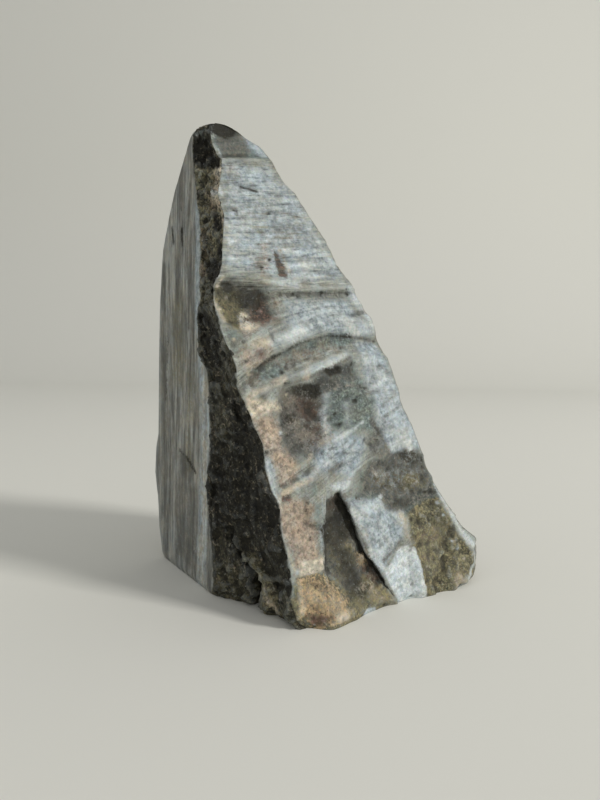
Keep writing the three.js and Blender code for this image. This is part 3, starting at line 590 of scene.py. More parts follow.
# Strength of the dark skin and of the olive rind over the side break, by height
SIDE_DARK = [
    (0, 0.7), (16, 0.85), (24, 1), (48, 0.95), (70, 0.7), (95, 0.6), (125, 0.58), (150, 0.2),
    (185, 0.18), (CREST, 0.8),
]
SIDE_RIND = [(0, 0.9), (35, 0.7), (120, 0.6), (150, 0.7), (CREST, 0.65)]
SIDE_GREY = 0.4
SIDE_BARE = 0.5  # share of the dark skin that is missing over a mark of strength 1
RAGGED = ((9, 1.8), (4, 1.1))  # lumps that make the outlines ragged, as (size, depth)
RAGGED_FULL = 3.0  # mm of softness at which an outline is fully ragged
# How broken the surface of each kind of stone is, from 0 to 1
BROKEN = {"green": 0.6, "pale": 0.35, "slate": 0.75, "olive": 0.95, "ochre": 0.9, "pink": 0.45,
          "cream": 0.4, "iron": 1.0, "umber": 1.0, "chalk": 0.3}
# How far in mm each kind stands proud of the front break
MARK_RELIEF = {"chalk": 0.15, "cream": 0.2, "umber": -0.5, "slate": -0.2, "iron": -0.3}

# ---- Surface of the stone ----
MARK_RELIEF_FROM = 3  # mm from the foot over which the relief of the marks fades in
# Stains on the back. The patches are facets and their edges and the dirt are lumps, all as
# (size, depth). A stain is (strength, value where it is nil, value where it is full).
BACK_PATCHES = (26, 1)
BACK_PATCH_EDGES = (12, 0.4)
BACK_DIRT = (17, 1)
BACK_RIND = 0.9
BACK_STAINS = {"ochre": (0.65, 0.1, 0.8), "green": (0.8, 0, -0.7)}
BACK_UMBER = (0.55, 0.5, -0.5)
# How broken and how grooved the surface is: 1 is fully. The side break is rougher than that.
FRESH_BROKEN = 0.5  # bare stone of the front break
SCRAPED_CALM = 0.7  # share that is gone where the upper part is scraped
CAP_CALM = 0.75  # share that is gone on the cap
SAWN_BROKEN = 0.04
SIDE_BROKEN = 1.9
BACK_BROKEN = (0.45, 0.5)  # at the right edge, and how much more past BACK_CALM
BACK_CALM = (0.1, 0.8)  # shares of the first leg of the back
SAWN_GROOVED = 0.38
SIDE_GROOVED = 0.5
SCRAPED_GROOVED = 0.9
MIDDLE_GROOVED = 0.3
MIDDLE_FROM = (48, 60)  # heights over which the middle of the front break begins
CAP_BLEND = 0.5
LEDGE_BLEND = 2
# Bedding over the front break: its lines rise along x, steeper with height over the ledge, like
# the wavy groove in the middle, and steeply at the foot.
BED_START = -20
BED_RISE = 0.1
BED_STEEPER = (0.0027, 135)  # more rise for each mm above this height
BED_WAVE = 100  # height from which the wavy groove's rise is counted
BED_FOOT_RISE = 0.55
BED_HIGH = (122, 136)
BED_LOW = (98, 78)
BED_SIDE = 0.45  # share of height in the bedding of the side break
BED_BACK = (0.8, 0.5)  # shares of height and of x in that of the back
FREE_FROM = 2.5  # mm from foot and crest over which the fine relief fades in
RIDGE_REACH = 3  # grid steps over which a point is compared with its surroundings

# ---- Fine relief ----
RELIEF_SEED = 5
SEED_STRIDE = 1.37
RELIEF_ROUGHNESS = 0.6
BEND_DETAIL = 2.0  # detail of the noise that bends the chips
SMALL_CHIP = (0.5, 0.45)  # size and depth of the smaller chips, as shares of the large ones
CRUMB = (1.6, 3.0, 0.8)  # crumbs to a chip, their detail and their depth as a share of a chip's
GROOVE_DRAW = 0.05  # how far the grooves are drawn out along the grain
GROOVE_DETAIL = 2.0

# ---- Stone material ----
# Noise over the stone: size in mm, detail and roughness; streaks add how far they are drawn out.
GRAINS = {
    "blotch": (7, 4.0, 0.6), "mottle": (2.4, 4.0, 0.65), "grit": (0.95, 3.0, 0.65),
    "dark speck": (0.9, 1.0, 0.5), "pale speck": (1.15, 1.0, 0.55),
}
STREAKS = {
    "streak": (0.07, 1.3, 4.0, 0.65), "dash": (0.3, 1.5, 3.0, 0.7),
    "smear": (0.12, 2.6, 4.0, 0.6), "broad": (0.05, 5, 3.0, 0.6),
}
NOISE_GAIN = 5.0  # brings noise from its narrow range round a half to about -1 to 1
# Bare stone: the two noises that shade it, how far their sum reaches, darkest and lightest tone
BARE = {"fresh": ("blotch", "streak", 1.2, 0.76, 1.24), "sawn": ("broad", "smear", 1.3, 0.62, 1.4)}
# Mixtures of noise, each with its share
CRUMBLY = {"blotch": 0.35, "mottle": 0.55, "grit": 0.55}
STREAKY = {"dash": 0.6, "streak": 0.7}
GRAINY = {"mottle": 0.7, "grit": 0.45}
GRAINY_OVER = (0.75, 0.25)  # how its strength grows with how broken the stone is, and its least
LYING = 1.2  # how soon grooves make the edges of patches streaky
# How far a patch of each kind varies in tone, grain by grain
SPREADS = {"green": 0.5, "pale": 0.23, "slate": 0.55, "olive": 0.42, "ochre": 0.24, "pink": 0.28,
           "cream": 0.2, "iron": 0.5, "umber": 0.6, "chalk": 0.13}
SPREAD_REACH = 0.6  # noise at which that is fully reached
RUFFLE = 0.5  # how far noise moves the edge of a patch
EDGE = 0.4  # how soft that edge is
FAINTEST = 0.15  # strength under which a patch fades away
# Crumbs of paler stone in the dark skin of the side break
SIDE_CRUMBS = {"mottle": 0.8, "dash": 0.6, "grit": 0.5}
SIDE_CRUMB_BAND = (0.2, 1.3)
SIDE_CRUMB_SHARE = 0.6
SIDE_CRUMB_TONE = 0.42
# Light and dark over all colours: noise, the mask that it grows with, how fast and from what
SHADING = (
    ("streak", "grooved", 0.3, 0.02), ("dash", "grooved", 0.38, 0.11),
    ("smear", "grooved", 0.22, 0.16), ("broad", "grooved", 0.0, 0.1), ("grit", "rough", 0.36, 0.02),
    ("mottle", "rough", 0.26, 0.03),
)
WARM = (1.05, 1.0, 0.93, 1)
COOL = (0.96, 1.0, 1.05, 1)
MINERAL = 1.2  # size in mm of the mineral grains that differ in tint
MINERAL_DETAIL = 2.0
TINT = 0.26
STREWN = (0.7, 0.3)  # how specks grow with how broken the stone is, and their least share
DARK_SPECKS = (0.75, 1.15)  # noise over which they come in
DARK_SPECK_SHARE = 0.6
PALE_SPECKS = (0.8, 1.4)
PALE_SPECK_GRIT = 0.4
PALE_SPECK_SHARE = (-0.25, 0.4)  # how it changes over umber, and its share elsewhere
PALE_SPECK_AND_RIDGE_TONE = 0.8  # tone of the crushed stone in pale specks and on ridges, where it is also a painted highlight
RIDGE_NOISE = 0.1
RUBBED_AND_LIT = (0.15, 0.7)  # mm proud over which a ridge turns pale, rubbed and with a painted highlight
RUBBED_AND_LIT_SHARE = (-0.18, 0.24)  # how it changes over umber, and its share elsewhere
DIRT_AND_SHADE = (-0.1, -0.6)  # mm over which a hollow darkens with dirt and painted shade
DIRT_AND_SHADE_SHARE = 0.65
CRYSTAL = 1.9  # size in mm of the small broken planes
CRYSTAL_RELIEF = (
    ("grit", "broken", 0.1, 0.05), ("mottle", "broken", 0.2, 0.05), ("streak", "grooved", 0.2, 0.0),
)
BUMP = 0.8  # mm
BUMP_STRENGTH = 0.8
SHEEN = (0.6, 0.85)  # roughness of the densest and of the loosest grain
TALC_IOR = 1.54
TALC_SPECULAR = 0.35

# ---- Studio ----
CAMERA_PLACE = (-5.22, -285.27, 106.2)  # mm
CAMERA_PITCH = 4.34  # degrees down
CAMERA_ROLL = 0.86
CAMERA_SENSOR = 36
CAMERA_LENS = 27
CAMERA_NEAR = 0.01
KEY_PLACE = (2.8, -1.26, 1.78)
KEY_AIM = (0, 0, 0.1)
KEY_COLOUR = "#fffcf6"
FILL_COLOUR = "#f4f4f2"
FLOOR_FRONT = -3.0
FLOOR_BACK = 1.6
FLOOR_HALF_WIDTH = 5.0
BACKDROP_TOP = 4.0
SWEEP_RADIUS = 0.9
SWEEP_STEPS = 24
PAPER_ROUGHNESS = 0.95

# ---- Stone texture: values from -1 to 1 fixed to a lattice in space ----
HASH_PRIMES = (0x8DA6B343, 0xD8163841, 0xCB1AB31F)
HASH_MIX = 0x5BD1E995
WORD = 0xFFFFFFFF
DRAW = 57
CREASE = 14
JITTER = 0.4
FACET_TILT = 1.3
FACET_STEP = 0.45


def lattice(i, j, k, draw=0):
    """A fixed value from -1 to 1 for each corner of the lattice."""
    mixed = [(n * p) & WORD for n, p in zip((i + draw * DRAW, j, k), HASH_PRIMES)]
    h = mixed[0] ^ mixed[1] ^ mixed[2]
    h = ((h ^ (h >> 13)) * HASH_MIX) & WORD
    return (h ^ (h >> 15)) / WORD * 2 - 1


def ease(start, end, v):
    """0 at start, 1 at end, easing between; the two may come in either order."""
    t = np.clip((v - start) / (end - start), 0, 1)
    return t * t * (3 - 2 * t)


def lumps(x, y, z, shape):
    """Rounded lumps, as (size, depth)."""
    size, depth = shape
    p = [np.asarray(v, float) / size for v in np.broadcast_arrays(x, y, z)]
    cell = [np.floor(v).astype(np.int64) for v in p]
    blend = [ease(0, 1, v - c) for v, c in zip(p, cell)]
    total = np.zeros_like(p[0])
    for corner in range(8):
        step = (corner & 1, (corner >> 1) & 1, corner >> 2)
        weight = np.ones_like(total)
        for s, b in zip(step, blend):
            weight = weight * (b if s else 1 - b)
        total += weight * lattice(*(c + s for c, s in zip(cell, step)))
    return depth * total


def facets(x, y, z, shape):
    """Broken facets, as (size, depth): tilted planes that meet in narrow creases."""
    size, depth = shape
    p = [np.asarray(v, float) / size for v in np.broadcast_arrays(x, y, z)]
    home = [np.floor(v).astype(np.int64) for v in p]
    total = np.zeros_like(p[0])
    weights = np.zeros_like(p[0])
    # Draws 1 to 3 move a cell's middle, draws 4 to 6 tilt its plane and draw 7 raises it.
    for n in range(27):
        step = (n % 3, n // 3 % 3, n // 9)
        cell = [c + s - 1 for c, s in zip(home, step)]
        away = [v - c - 0.5 - JITTER * lattice(*cell, axis + 1)
                for axis, (v, c) in enumerate(zip(p, cell))]
        weight = np.exp(-CREASE * sum(v * v for v in away))
        tilt = sum(v * lattice(*cell, axis + 4) for axis, v in enumerate(away))
        total += weight * (FACET_TILT * tilt + FACET_STEP * lattice(*cell, 7))
        weights += weight
    return depth * total / weights


def read(table, where, column=1):
    """Straight-line reading of an edge table."""
    rows = np.array(table, float)
    return np.interp(where, rows[:, 0], rows[:, column])


def hump(v, half):
    """1 in the middle and 0 at half to either side."""
    return np.maximum(0, 1 - (v / half) ** 2)


def sloping(edge, x):
    """Height at x of a straight edge, as (x, height, rise)."""
    return edge[1] + edge[2] * (x - edge[0])


def dish(x, z, cx, cz, half_width, half_height, turn):
    """An oval dish with a crisp rim: 1 in the middle, 0 outside."""
    c, s = math.cos(turn), math.sin(turn)
    u = ((x - cx) * c + (z - cz) * s) / half_width
    v = ((z - cz) * c - (x - cx) * s) / half_height
    return np.maximum(0, 1 - u * u - v * v)


# ---- Front break ----
def front_y(x, z):
    """How far back the plane of the front break lies."""
    return FRONT_SETBACK + FRONT_SKEW * x + FRONT_LEAN * z


def upper_relief(x, z):
    """Broken cap, ledge and wavy groove of the upper part."""
    edge = sloping(CAP_EDGE, x)
    tilt = CAP_TILT * (read(RIGHT_EDGE, z) - x)
    cap = ease(edge - CAP_SOFT, edge + CAP_SOFT, z) * (CAP_DEPTH + tilt)
    edge = sloping(LEDGE_EDGE, x)
    under = ease(edge + CAP_SOFT, edge - CAP_SOFT, z) * ease(edge - LEDGE_FADE, edge, z)
    ledge = LEDGE_DEPTH * under * ease(*LEDGE_RUN, x)
    above = z - read(WAVE, x)
    groove = ease(*WAVE_ABOVE, above) * ease(*WAVE_BELOW, above)
    return cap + ledge + WAVE_DEPTH * groove * ease(*WAVE_RUN, x)


def apron_relief(x, z):
    """The apron left of the scar, which stands proud of the break."""
    left = read(SCAR_LEFT, z)
    peak, fall, start = APRON_PEAK
    top = np.minimum(sloping(APRON_EDGE, x), peak - fall * np.maximum(0, x - start))
    on = ease(top + APRON_SOFT, top - APRON_SOFT, z) * ease(left + STEP_RUN, left, x)
    on *= ease(*APRON_LOW, z)
    return -APRON_PROUD * on


def swell_relief(x, z):
    """The swelling foot of the apron."""
    on = ease(*SWELL_LEFT, x) * ease(*SWELL_RIGHT, x) * ease(*SWELL_TOP, z)
    return -on * (SWELL_PROUD[0] + SWELL_PROUD[1] * ease(SWELL_TOP[0], SWELL_FULL, z))


def spall_relief(x, z):
    """The sunken spall between the scar and the rind."""
    right, rind = read(SCAR_RIGHT, z), read(RIND_LINE, z)
    on = ease(right, right + STEP_RUN, x) * ease(rind + STEP_RUN, rind - STEP_RUN, x)
    line_x, line_z, along, up = SPALL_LINE
    fall = np.maximum(0, along * (x - line_x) - up * (z - line_z))
    dip = ease(*SPALL_LOW, z) * ease(*SPALL_HIGH, z) * SPALL_DIP * fall
    return on * dip * ease(rind, rind - SPALL_RISE, x)


def rind_relief(x, y, z):
    """Facets of the rough rind."""
    rind = read(RIND_LINE, z)
    past = ease(rind + RIND_BLEND[0], rind + RIND_BLEND[1], x)
    rough = past * ease(*RIND_CALM, read(RIGHT_EDGE, z) - x) * ease(*RIND_HIGH, z)
    return rough * facets(x, y, z, RIND_FACETS)


def corner_relief(x, z):
    """Rounding of the right edge."""
    gap = read(RIGHT_EDGE, z) - x
    return CORNER_ROUND[0] * (ease(CORNER_ROUND[1], 0, gap) * ease(*CORNER_HIGH, z))


def lower_relief(x, y, z):
    """Apron, swelling foot, spall and rind of the lower part."""
    d = apron_relief(x, z) + swell_relief(x, z) + spall_relief(x, z)
    return d + rind_relief(x, y, z) + corner_relief(x, z)


def scar_relief(x, z):
    """The scar, deepest along its right wall."""
    left, right = read(SCAR_LEFT, z), read(SCAR_RIGHT, z)
    on = ease(left, left + STEP_RUN, x) * ease(right + STEP_RUN, right, x)
    across = np.maximum(0, (x - left) / (right - left))
    return on * ease(*SCAR_LOW, z) * ease(*SCAR_HIGH, z) * (SCAR_DEPTH[0] + SCAR_DEPTH[1] * across)


def front_points(x, z):
    """Points of the front break, as (x, y) in plan."""
    x, z = np.broadcast_arrays(np.asarray(x, float), z)
    y = front_y(x, z)
    d = lumps(x, y, z, FRONT_LUMPS) + facets(x, y, z, FRONT_FACETS) * ease(*FACETS_FADE, z)
    d = d + upper_relief(x, z) + lower_relief(x, y, z)
    for *oval, depth in HOLLOWS:
        d = d + depth * dish(x, z, *oval)
    return moved(moved((x, y), FRONT_INWARD, d), SCAR_INWARD, scar_relief(x, z))


# ---- Side break, sawn face and back ----
def moved(p, direction, d):
    """Points moved in plan by d along a direction."""
    return p[0] + direction[0] * d, p[1] + direction[1] * d


def blended(a, b, t):
    """Points a share t of the way from a to b."""
    return a[0] + (b[0] - a[0]) * t, a[1] + (b[1] - a[1]) * t


def side_relief(p, t, z, width):
    """Hollows, cleft, knob and facets of the side break, which fade out at its two arrises."""
    cleft = (t - read(CLEFT_LINE, z)) * width
    d = read(SIDE_HOLLOW, z) * np.sin(np.pi * t)
    d = d + read(CLEFT_DEPTH, z) * np.maximum(0, 1 - np.abs(cleft) / CLEFT_WIDTH)
    d = d - CLEFT_LUMP[2] * ease(*CLEFT_LUMP_HIGH, z) * hump(cleft - CLEFT_LUMP[0], CLEFT_LUMP[1])
    d = d - KNOB[2] * hump(z - KNOB[0], KNOB[1]) * ease(*KNOB_ACROSS, t)
    d = d - NOSE[2] * ease(*NOSE_HIGH, z) * hump(t - NOSE[0], NOSE[1])
    d = d + facets(*p, z, SIDE_FACETS) + lumps(*p, z, SIDE_LUMPS) + facets(*p, z, SIDE_CRAGS)
    return d * ease(0, ARRIS_FADE, t * width) * ease(0, ARRIS_FADE, (1 - t) * width)


def sawn_plan(s):
    """A place in plan on the sawn plane, s mm along it."""
    return moved(SAWN_CORNER, SAWN_ALONG, s)


def sawn_points(t, z):
    """Points of the sawn face from its back edge to its front edge, and how far along they lie."""
    back, front = read(SAWN_BACK_EDGE, z), read(SAWN_FRONT_EDGE, z)
    s = back + (front - back) * t
    fade = ease(0, ARRIS_FADE, back - s) * ease(0, ARRIS_FADE, s - front)
    waver = lumps(s, 0.0, z / SAWN_STRETCH, SAWN_WAVER)
    return moved(sawn_plan(s), SAWN_INWARD, fade * waver), s


def side_points(t, z):
    """Points of the side break, t of the way from the sawn face to the front arris."""
    start = sawn_plan(read(SAWN_FRONT_EDGE, z))
    end = front_points(read(FRONT_ARRIS, z), z)
    width = np.hypot(end[0] - start[0], end[1] - start[1])
    p = blended(start, end, t)
    return moved(p, SIDE_INWARD, side_relief(p, t, z, width))


def back_points(t, z, leg):
    """Points of the back, t of the way along one of the three legs between its four corners."""
    corners = [
        front_points(read(RIGHT_EDGE, z), z),
        (read(BACK_RIGHT, z, 1), read(BACK_RIGHT, z, 2)),
        (read(BACK_LEFT, z, 1), read(BACK_LEFT, z, 2)),
        sawn_plan(read(SAWN_BACK_EDGE, z)),
    ]
    axis = blended(corners[0], corners[3], 0.5)
    p = blended(corners[leg], corners[leg + 1], t)
    to_axis = axis[0] - p[0], axis[1] - p[1]
    reach = np.hypot(*to_axis)
    fade = (ease(0, 0.5, t) if leg == 0 else 1) * (ease(1, 0.5, t) if leg == 2 else 1)
    grain = facets(*p, z, BACK_PLATES) + facets(*p, z, BACK_FACETS) + lumps(*p, z, BACK_LUMPS)
    calm = np.minimum(1, reach / FULL_RELIEF_REACH)
    d = fade * (calm * grain - BACK_BULGE * np.sin(np.pi * t))
    return moved(p, (to_axis[0] / reach, to_axis[1] / reach), d)


def build_sections(heights):
    """Points round every level section, with the face each belongs to and its place on it."""
    z = heights[:, None]
    parts = []

    def share(name):
        return np.arange(COLUMNS[name])[None, :] / COLUMNS[name]

    def add(points, face, across):
        shape = np.broadcast(points[0], z).shape
        parts.append([np.broadcast_to(v, shape) for v in (*points, across)] + [face])

    points, s = sawn_points(share("sawn"), z)
    add(points, "sawn", s)
    cleft = read(CLEFT_LINE, z)
    for t in (share("side_low") * cleft, cleft + (1 - cleft) * share("side_high")):
        add(side_points(t, z), "side", t)
    lines = [
        (read(FRONT_ARRIS, z), "apron"), (read(SCAR_LEFT, z), "step"),
        (read(SCAR_LEFT, z) + STEP_RUN, "scar"), (read(SCAR_RIGHT, z), "step"),
        (read(SCAR_RIGHT, z) + STEP_RUN, "pale"), (read(RIND_LINE, z), "rind"),
        (read(RIGHT_EDGE, z), None),
    ]
    for (start, name), (end, _) in zip(lines, lines[1:]):
        x = start + (end - start) * share(name)
        add(front_points(x, z), "front", x)
    for leg, name in enumerate(("back_right", "back", "back_left")):
        add(back_points(share(name), z, leg), "back", share(name) + leg)
    x, y, across = (np.concatenate([p[i] for p in parts], axis=1) for i in range(3))
    face = np.concatenate([np.full(p[0].shape[1], p[3], dtype=object) for p in parts])
    return x, y, across, face


def shape_block():
    """The whole stone as a grid of points (row, column), and where each lies on its face."""
    body = np.linspace(FOOT_ROUND, BODY_TOP, ROWS - len(FOOT_HEIGHTS) - CROWN_ROWS)
    turns = np.linspace(CROWN_START, 1, CROWN_ROWS) * math.pi / 2
    crown = BODY_TOP + (CREST_RING - BODY_TOP) * np.sin(turns)
    heights = np.concatenate([FOOT_HEIGHTS, body, crown])
    x, y, across, face = build_sections(heights)
    z = np.broadcast_to(heights[:, None], x.shape)
    climb = np.clip((z - BODY_TOP) / (CREST - BODY_TOP), 0, 1)
    shrink = np.sqrt(np.maximum(CREST_LEFT, 1 - climb**2))
    x = CREST_CENTRE[0] + (x - CREST_CENTRE[0]) * shrink
    y = CREST_CENTRE[1] + (y - CREST_CENTRE[1]) * shrink
    under = FOOT_INSET * (1 - ease(0, FOOT_ROUND, z)) / np.hypot(x, y)
    x, y = x * (1 - under), y * (1 - under)
    grid = np.stack([x - PLAN_MIDDLE[0], y - PLAN_MIDDLE[1], z], axis=-1)
    return grid, across, face


# ---- Where the colours lie ----
def outline_distance(x, z, outline, closed=True):
    """Distance in mm to an outline, below zero inside it when it is closed."""
    points = np.array(outline, float)
    ends = np.roll(points, -1, axis=0) if closed else points[1:]
    starts = points if closed else points[:-1]
    nearest = np.full(x.shape, np.inf)
    inside = np.zeros(x.shape, bool)
    for (ax, az), (bx, bz) in zip(starts, ends):
        along = ((x - ax) * (bx - ax) + (z - az) * (bz - az)) / ((bx - ax) ** 2 + (bz - az) ** 2)
        along = np.clip(along, 0, 1)
        gap = np.hypot(x - ax - along * (bx - ax), z - az - along * (bz - az))
        nearest = np.minimum(nearest, gap)
        if closed and az != bz:
            crosses = (az > z) != (bz > z)
            inside ^= crosses & (x < ax + (z - az) * (bx - ax) / (bz - az))
    return np.where(inside, -nearest, nearest) if closed else nearest


def face_masks(face):
    """1 on each face and 0 elsewhere, by name."""
    return {name: np.where(face == name, 1.0, 0.0) for name in ("front", "side", "sawn", "back")}


def add_marks(masks, u, z, here, ragged, marks):
    """Adds the marks of one face, whose places are (u, z)."""
    for kind, strength, soft, half_width, points in marks.values():
        gap = outline_distance(u, z, points, closed=half_width == 0) - half_width
        gap = gap + ragged * min(1, soft / RAGGED_FULL)
        masks[kind] = np.maximum(masks[kind], here * strength * ease(soft, -soft, gap))


def add_spots(masks, x, z, here):
    """Adds the small round spots of the front break."""
    strength, soft, radius = SPOT
    for kind, spots in FRONT_SPOTS.items():
        for spot_x, height in spots:
            gap = np.hypot(x - spot_x, z - height) - radius
            masks[kind] = np.maximum(masks[kind], here * strength * ease(soft, -soft, gap))


def add_side_skin(masks, z, here):
    """Adds rind and a dark skin over the side break; rind or pale stone thins the skin."""
    bare = np.maximum.reduce([masks[kind] for kind in ("olive", "pink", "cream", "green")])
    dark = np.maximum(masks["umber"], read(SIDE_DARK, z)) * (1 - SIDE_BARE * bare)
    masks["umber"] = np.where(here > 0, dark, masks["umber"])
    masks["slate"] = np.maximum(masks["slate"], SIDE_GREY * here)
    masks["olive"] = np.maximum(masks["olive"], read(SIDE_RIND, z) * here)


def add_back_stains(masks, x, y, z, here):
    """Adds the rind of the back, with ochre and green stains and dirt."""
    patchy = facets(x, y, z, BACK_PATCHES) + lumps(x, y, z, BACK_PATCH_EDGES)
    stains = {kind: share * ease(*ends, patchy) for kind, (share, *ends) in BACK_STAINS.items()}
    share, *ends = BACK_UMBER
    stains["umber"] = share * ease(*ends, lumps(z, x, y, BACK_DIRT))
    stains["olive"] = BACK_RIND
    for kind, stain in stains.items():
        masks[kind] = np.maximum(masks[kind], here * stain)


def colour_masks(grid, across, on):
    """One mask from 0 to 1 for each kind of stone colour, or a little over 1 where it has no holes."""
    x, y, z = grid[..., 0], grid[..., 1], grid[..., 2]
    masks = {kind: np.zeros(x.shape) for kind in KINDS}
    ragged = sum(lumps(x, y, z, shape) for shape in RAGGED)
    add_marks(masks, across, z, on["front"], ragged, FRONT_MARKS)
    add_marks(masks, across * SIDE_SPAN, z, on["side"], ragged, SIDE_MARKS)
    add_marks(masks, across, z, on["sawn"], ragged, SAWN_MARKS)
    add_spots(masks, across, z, on["front"])
    add_side_skin(masks, z, on["side"])
    add_back_stains(masks, x, y, z, on["back"])
    return masks


def mark_relief(grid, on, masks):
    """Crusts stand a little proud of the front break and dark pits lie a little under it."""
    depth = -sum(height * masks[kind] for kind, height in MARK_RELIEF.items())
    depth = depth * on["front"] * ease(0, MARK_RELIEF_FROM, grid[..., 2])
    x, y = moved((grid[..., 0], grid[..., 1]), FRONT_INWARD, depth)
    return np.stack([x, y, grid[..., 2]], axis=-1)


def upper_front(x, z, on):
    """1 on the scraped upper part of the front break, and 1 on the cap over it."""
    edge = sloping(CAP_EDGE, x)
    cap = ease(edge - CAP_BLEND, edge + CAP_BLEND, z)
    ledge = sloping(LEDGE_EDGE, x)
    scraped = ease(ledge, ledge + LEDGE_BLEND, z) * (1 - cap)
    return on["front"] * scraped, on["front"] * cap


def broken_share(across, z, on, masks):
    """How broken the surface is: 0 on smooth stone, 1 on broken stone and more on the side break."""
    broken = np.full(z.shape, FRESH_BROKEN)
    for kind, share in BROKEN.items():
        broken = broken + (share - broken) * np.minimum(masks[kind], 1)
    scraped, cap = upper_front(across, z, on)
    broken = broken * (1 - SCRAPED_CALM * scraped) * (1 - CAP_CALM * cap)
    back = BACK_BROKEN[0] + BACK_BROKEN[1] * ease(*BACK_CALM, across)
    for name, share in (("sawn", SAWN_BROKEN), ("side", SIDE_BROKEN), ("back", back)):
        broken = np.where(on[name] > 0, share, broken)
    return broken


def grooved_share(across, z, on, masks):
    """How strongly the grooves along the grain show."""
    scraped, _ = upper_front(across, z, on)
    grooved = SAWN_GROOVED * on["sawn"] + SIDE_GROOVED * on["side"] + SCRAPED_GROOVED * scraped
    middle = MIDDLE_GROOVED * (on["front"] * (1 - scraped) * ease(*MIDDLE_FROM, z))
    for kind in ("umber", "chalk"):
        middle = middle * (1 - np.minimum(masks[kind], 1))
    return grooved + middle


def bedding(grid, across, on):
    """The grain's coordinates: mm across the bedding and mm along it."""
    x, y, z = grid[..., 0], grid[..., 1], grid[..., 2]
    steeper, from_height = BED_STEEPER
    high = (across - BED_START) * (BED_RISE + steeper * np.clip(z - from_height, 0, None))
    middle = read(WAVE, across) - BED_WAVE
    low = BED_FOOT_RISE * across
    rise = middle + (high - middle) * ease(*BED_HIGH, z) + (low - middle) * ease(*BED_LOW, z)
    back = BED_BACK[0] * z + BED_BACK[1] * x
    bed = np.select([on["front"] > 0, on["sawn"] > 0, on["side"] > 0],
                    [z - rise, across, x + BED_SIDE * z], back)
    run = np.select([on["front"] > 0, on["back"] > 0], [across, y], z)
    return np.stack([bed, run, 0 * run], axis=-1)


# ---- Node helpers ----
MATHS = "ShaderNodeMath"
VECTORS = "ShaderNodeVectorMath"
RANGE = "ShaderNodeMapRange"
BLEND = "ShaderNodeMix"
NOISE = "ShaderNodeTexNoise"
CELLS = "ShaderNodeTexVoronoi"
MID_COLOUR = (0.5, 0.5, 0.5)  # middle of a random colour


def linear(code):
    """A '#rrggbb' sRGB colour as linear values with alpha."""
    values = [int(code[i:i + 2], 16) / 255 for i in (1, 3, 5)]
    return tuple(v / 12.92 if v <= 0.04045 else ((v + 0.055) / 1.055) ** 2.4 for v in values) + (1,)


def tone(colour, share):
    """A colour made darker or lighter."""
    return tuple(min(1, c * share) for c in colour) + (1,)


def add_node(tree, kind, *values, named=None, output=None, **settings):
    """Adds a node with its settings and links, and gives the output asked for or the first in use.

    Values, which may be sockets to link, go to the inputs in use in their order or by name.
    """
    node = tree.nodes.new(kind)
    for name, value in settings.items():
        setattr(node, name, value)
    given = list(zip([socket for socket in node.inputs if socket.enabled], values))
    given += [(node.inputs[name], value) for name, value in (named or {}).items()]
    for socket, value in given:
        if isinstance(value, bpy.types.NodeSocket):
            tree.links.new(value, socket)
        else:
            socket.default_value = value
    if output:
        return node.outputs[output]
    return next((socket for socket in node.outputs if socket.enabled), None)


def total(add, start, *terms):
    """start plus each value times its share."""
    for value, share in terms:
        start = add(MATHS, value, share, start, operation="MULTIPLY_ADD")
    return start


def tilted_planes(add, place, cells, scale):
    """Little planes, one to a cell of a Voronoi texture and each tilted its own way."""
    away = add(VECTORS, place, cells.node.outputs["Position"], operation="SUBTRACT")
    lean = add(VECTORS, cells, MID_COLOUR, operation="SUBTRACT")
    height = add(VECTORS, away, lean, operation="DOT_PRODUCT")
    return add(MATHS, height, scale, operation="MULTIPLY")


# ---- Settings ----
def stone_colour(name, code, description):
    return bpy.props.FloatVectorProperty(
        name=name, description=description, default=linear(code)[:3], size=3, subtype="COLOR",
        min=0, max=1)


class SoapstoneSettings(bpy.types.PropertyGroup):
    """Sizes and colours of the stone."""

    fresh: stone_colour("Fresh break", "#8f938c", "Grey of newly broken stone")
    green: stone_colour("Grey-green", "#6b7672", "Chlorite-rich grey-green stone")
    pale: stone_colour("Pale talc", "#a2adb2", "Pale blue-grey talc")
    slate: stone_colour("Slate grey", "#5f5f59", "Dark grey bands")
    olive: stone_colour("Olive rind", "#6e6a52", "Olive-brown weathered rind")
    ochre: stone_colour("Ochre", "#a39173", "Ochre iron stain")
    pink: stone_colour("Pink-tan", "#a29586", "Pinkish tan stain")
    # Cream and bruised white are also laid as painted highlights on lit lips and edges.
    cream: stone_colour("Cream", "#c7beab", "Cream crust along ledges")
    iron: stone_colour("Red-brown", "#5b4a41", "Red-brown iron stain")
    # Umber is also laid as painted shadow in the scar, the cleft and under overhangs.
    umber: stone_colour("Umber", "#24231b", "Black-brown skin of old cracks")
    chalk: stone_colour("Bruised white", "#c2cbcd", "Crushed, almost white stone")
    sawn: stone_colour("Sawn grey", "#8b8c87", "Dull grey of the sawn face")
    chip_size: bpy.props.FloatProperty(
        name="Chip size", description="Size of the chips on broken faces",
        default=4.6 * MM, min=1 * MM, max=20 * MM, unit="LENGTH")
    chip_depth: bpy.props.FloatProperty(
        name="Chip depth", description="Depth of the chips on broken faces",
        default=1.3 * MM, min=0, max=4 * MM, unit="LENGTH")
    groove_spacing: bpy.props.FloatProperty(
        name="Groove spacing", description="Distance between grooves left along the grain",
        default=2.2 * MM, min=0.5 * MM, max=10 * MM, unit="LENGTH")
    groove_depth: bpy.props.FloatProperty(
        name="Groove depth", description="Depth of the grooves left along the grain",
        default=0.5 * MM, min=0, max=2 * MM, unit="LENGTH")


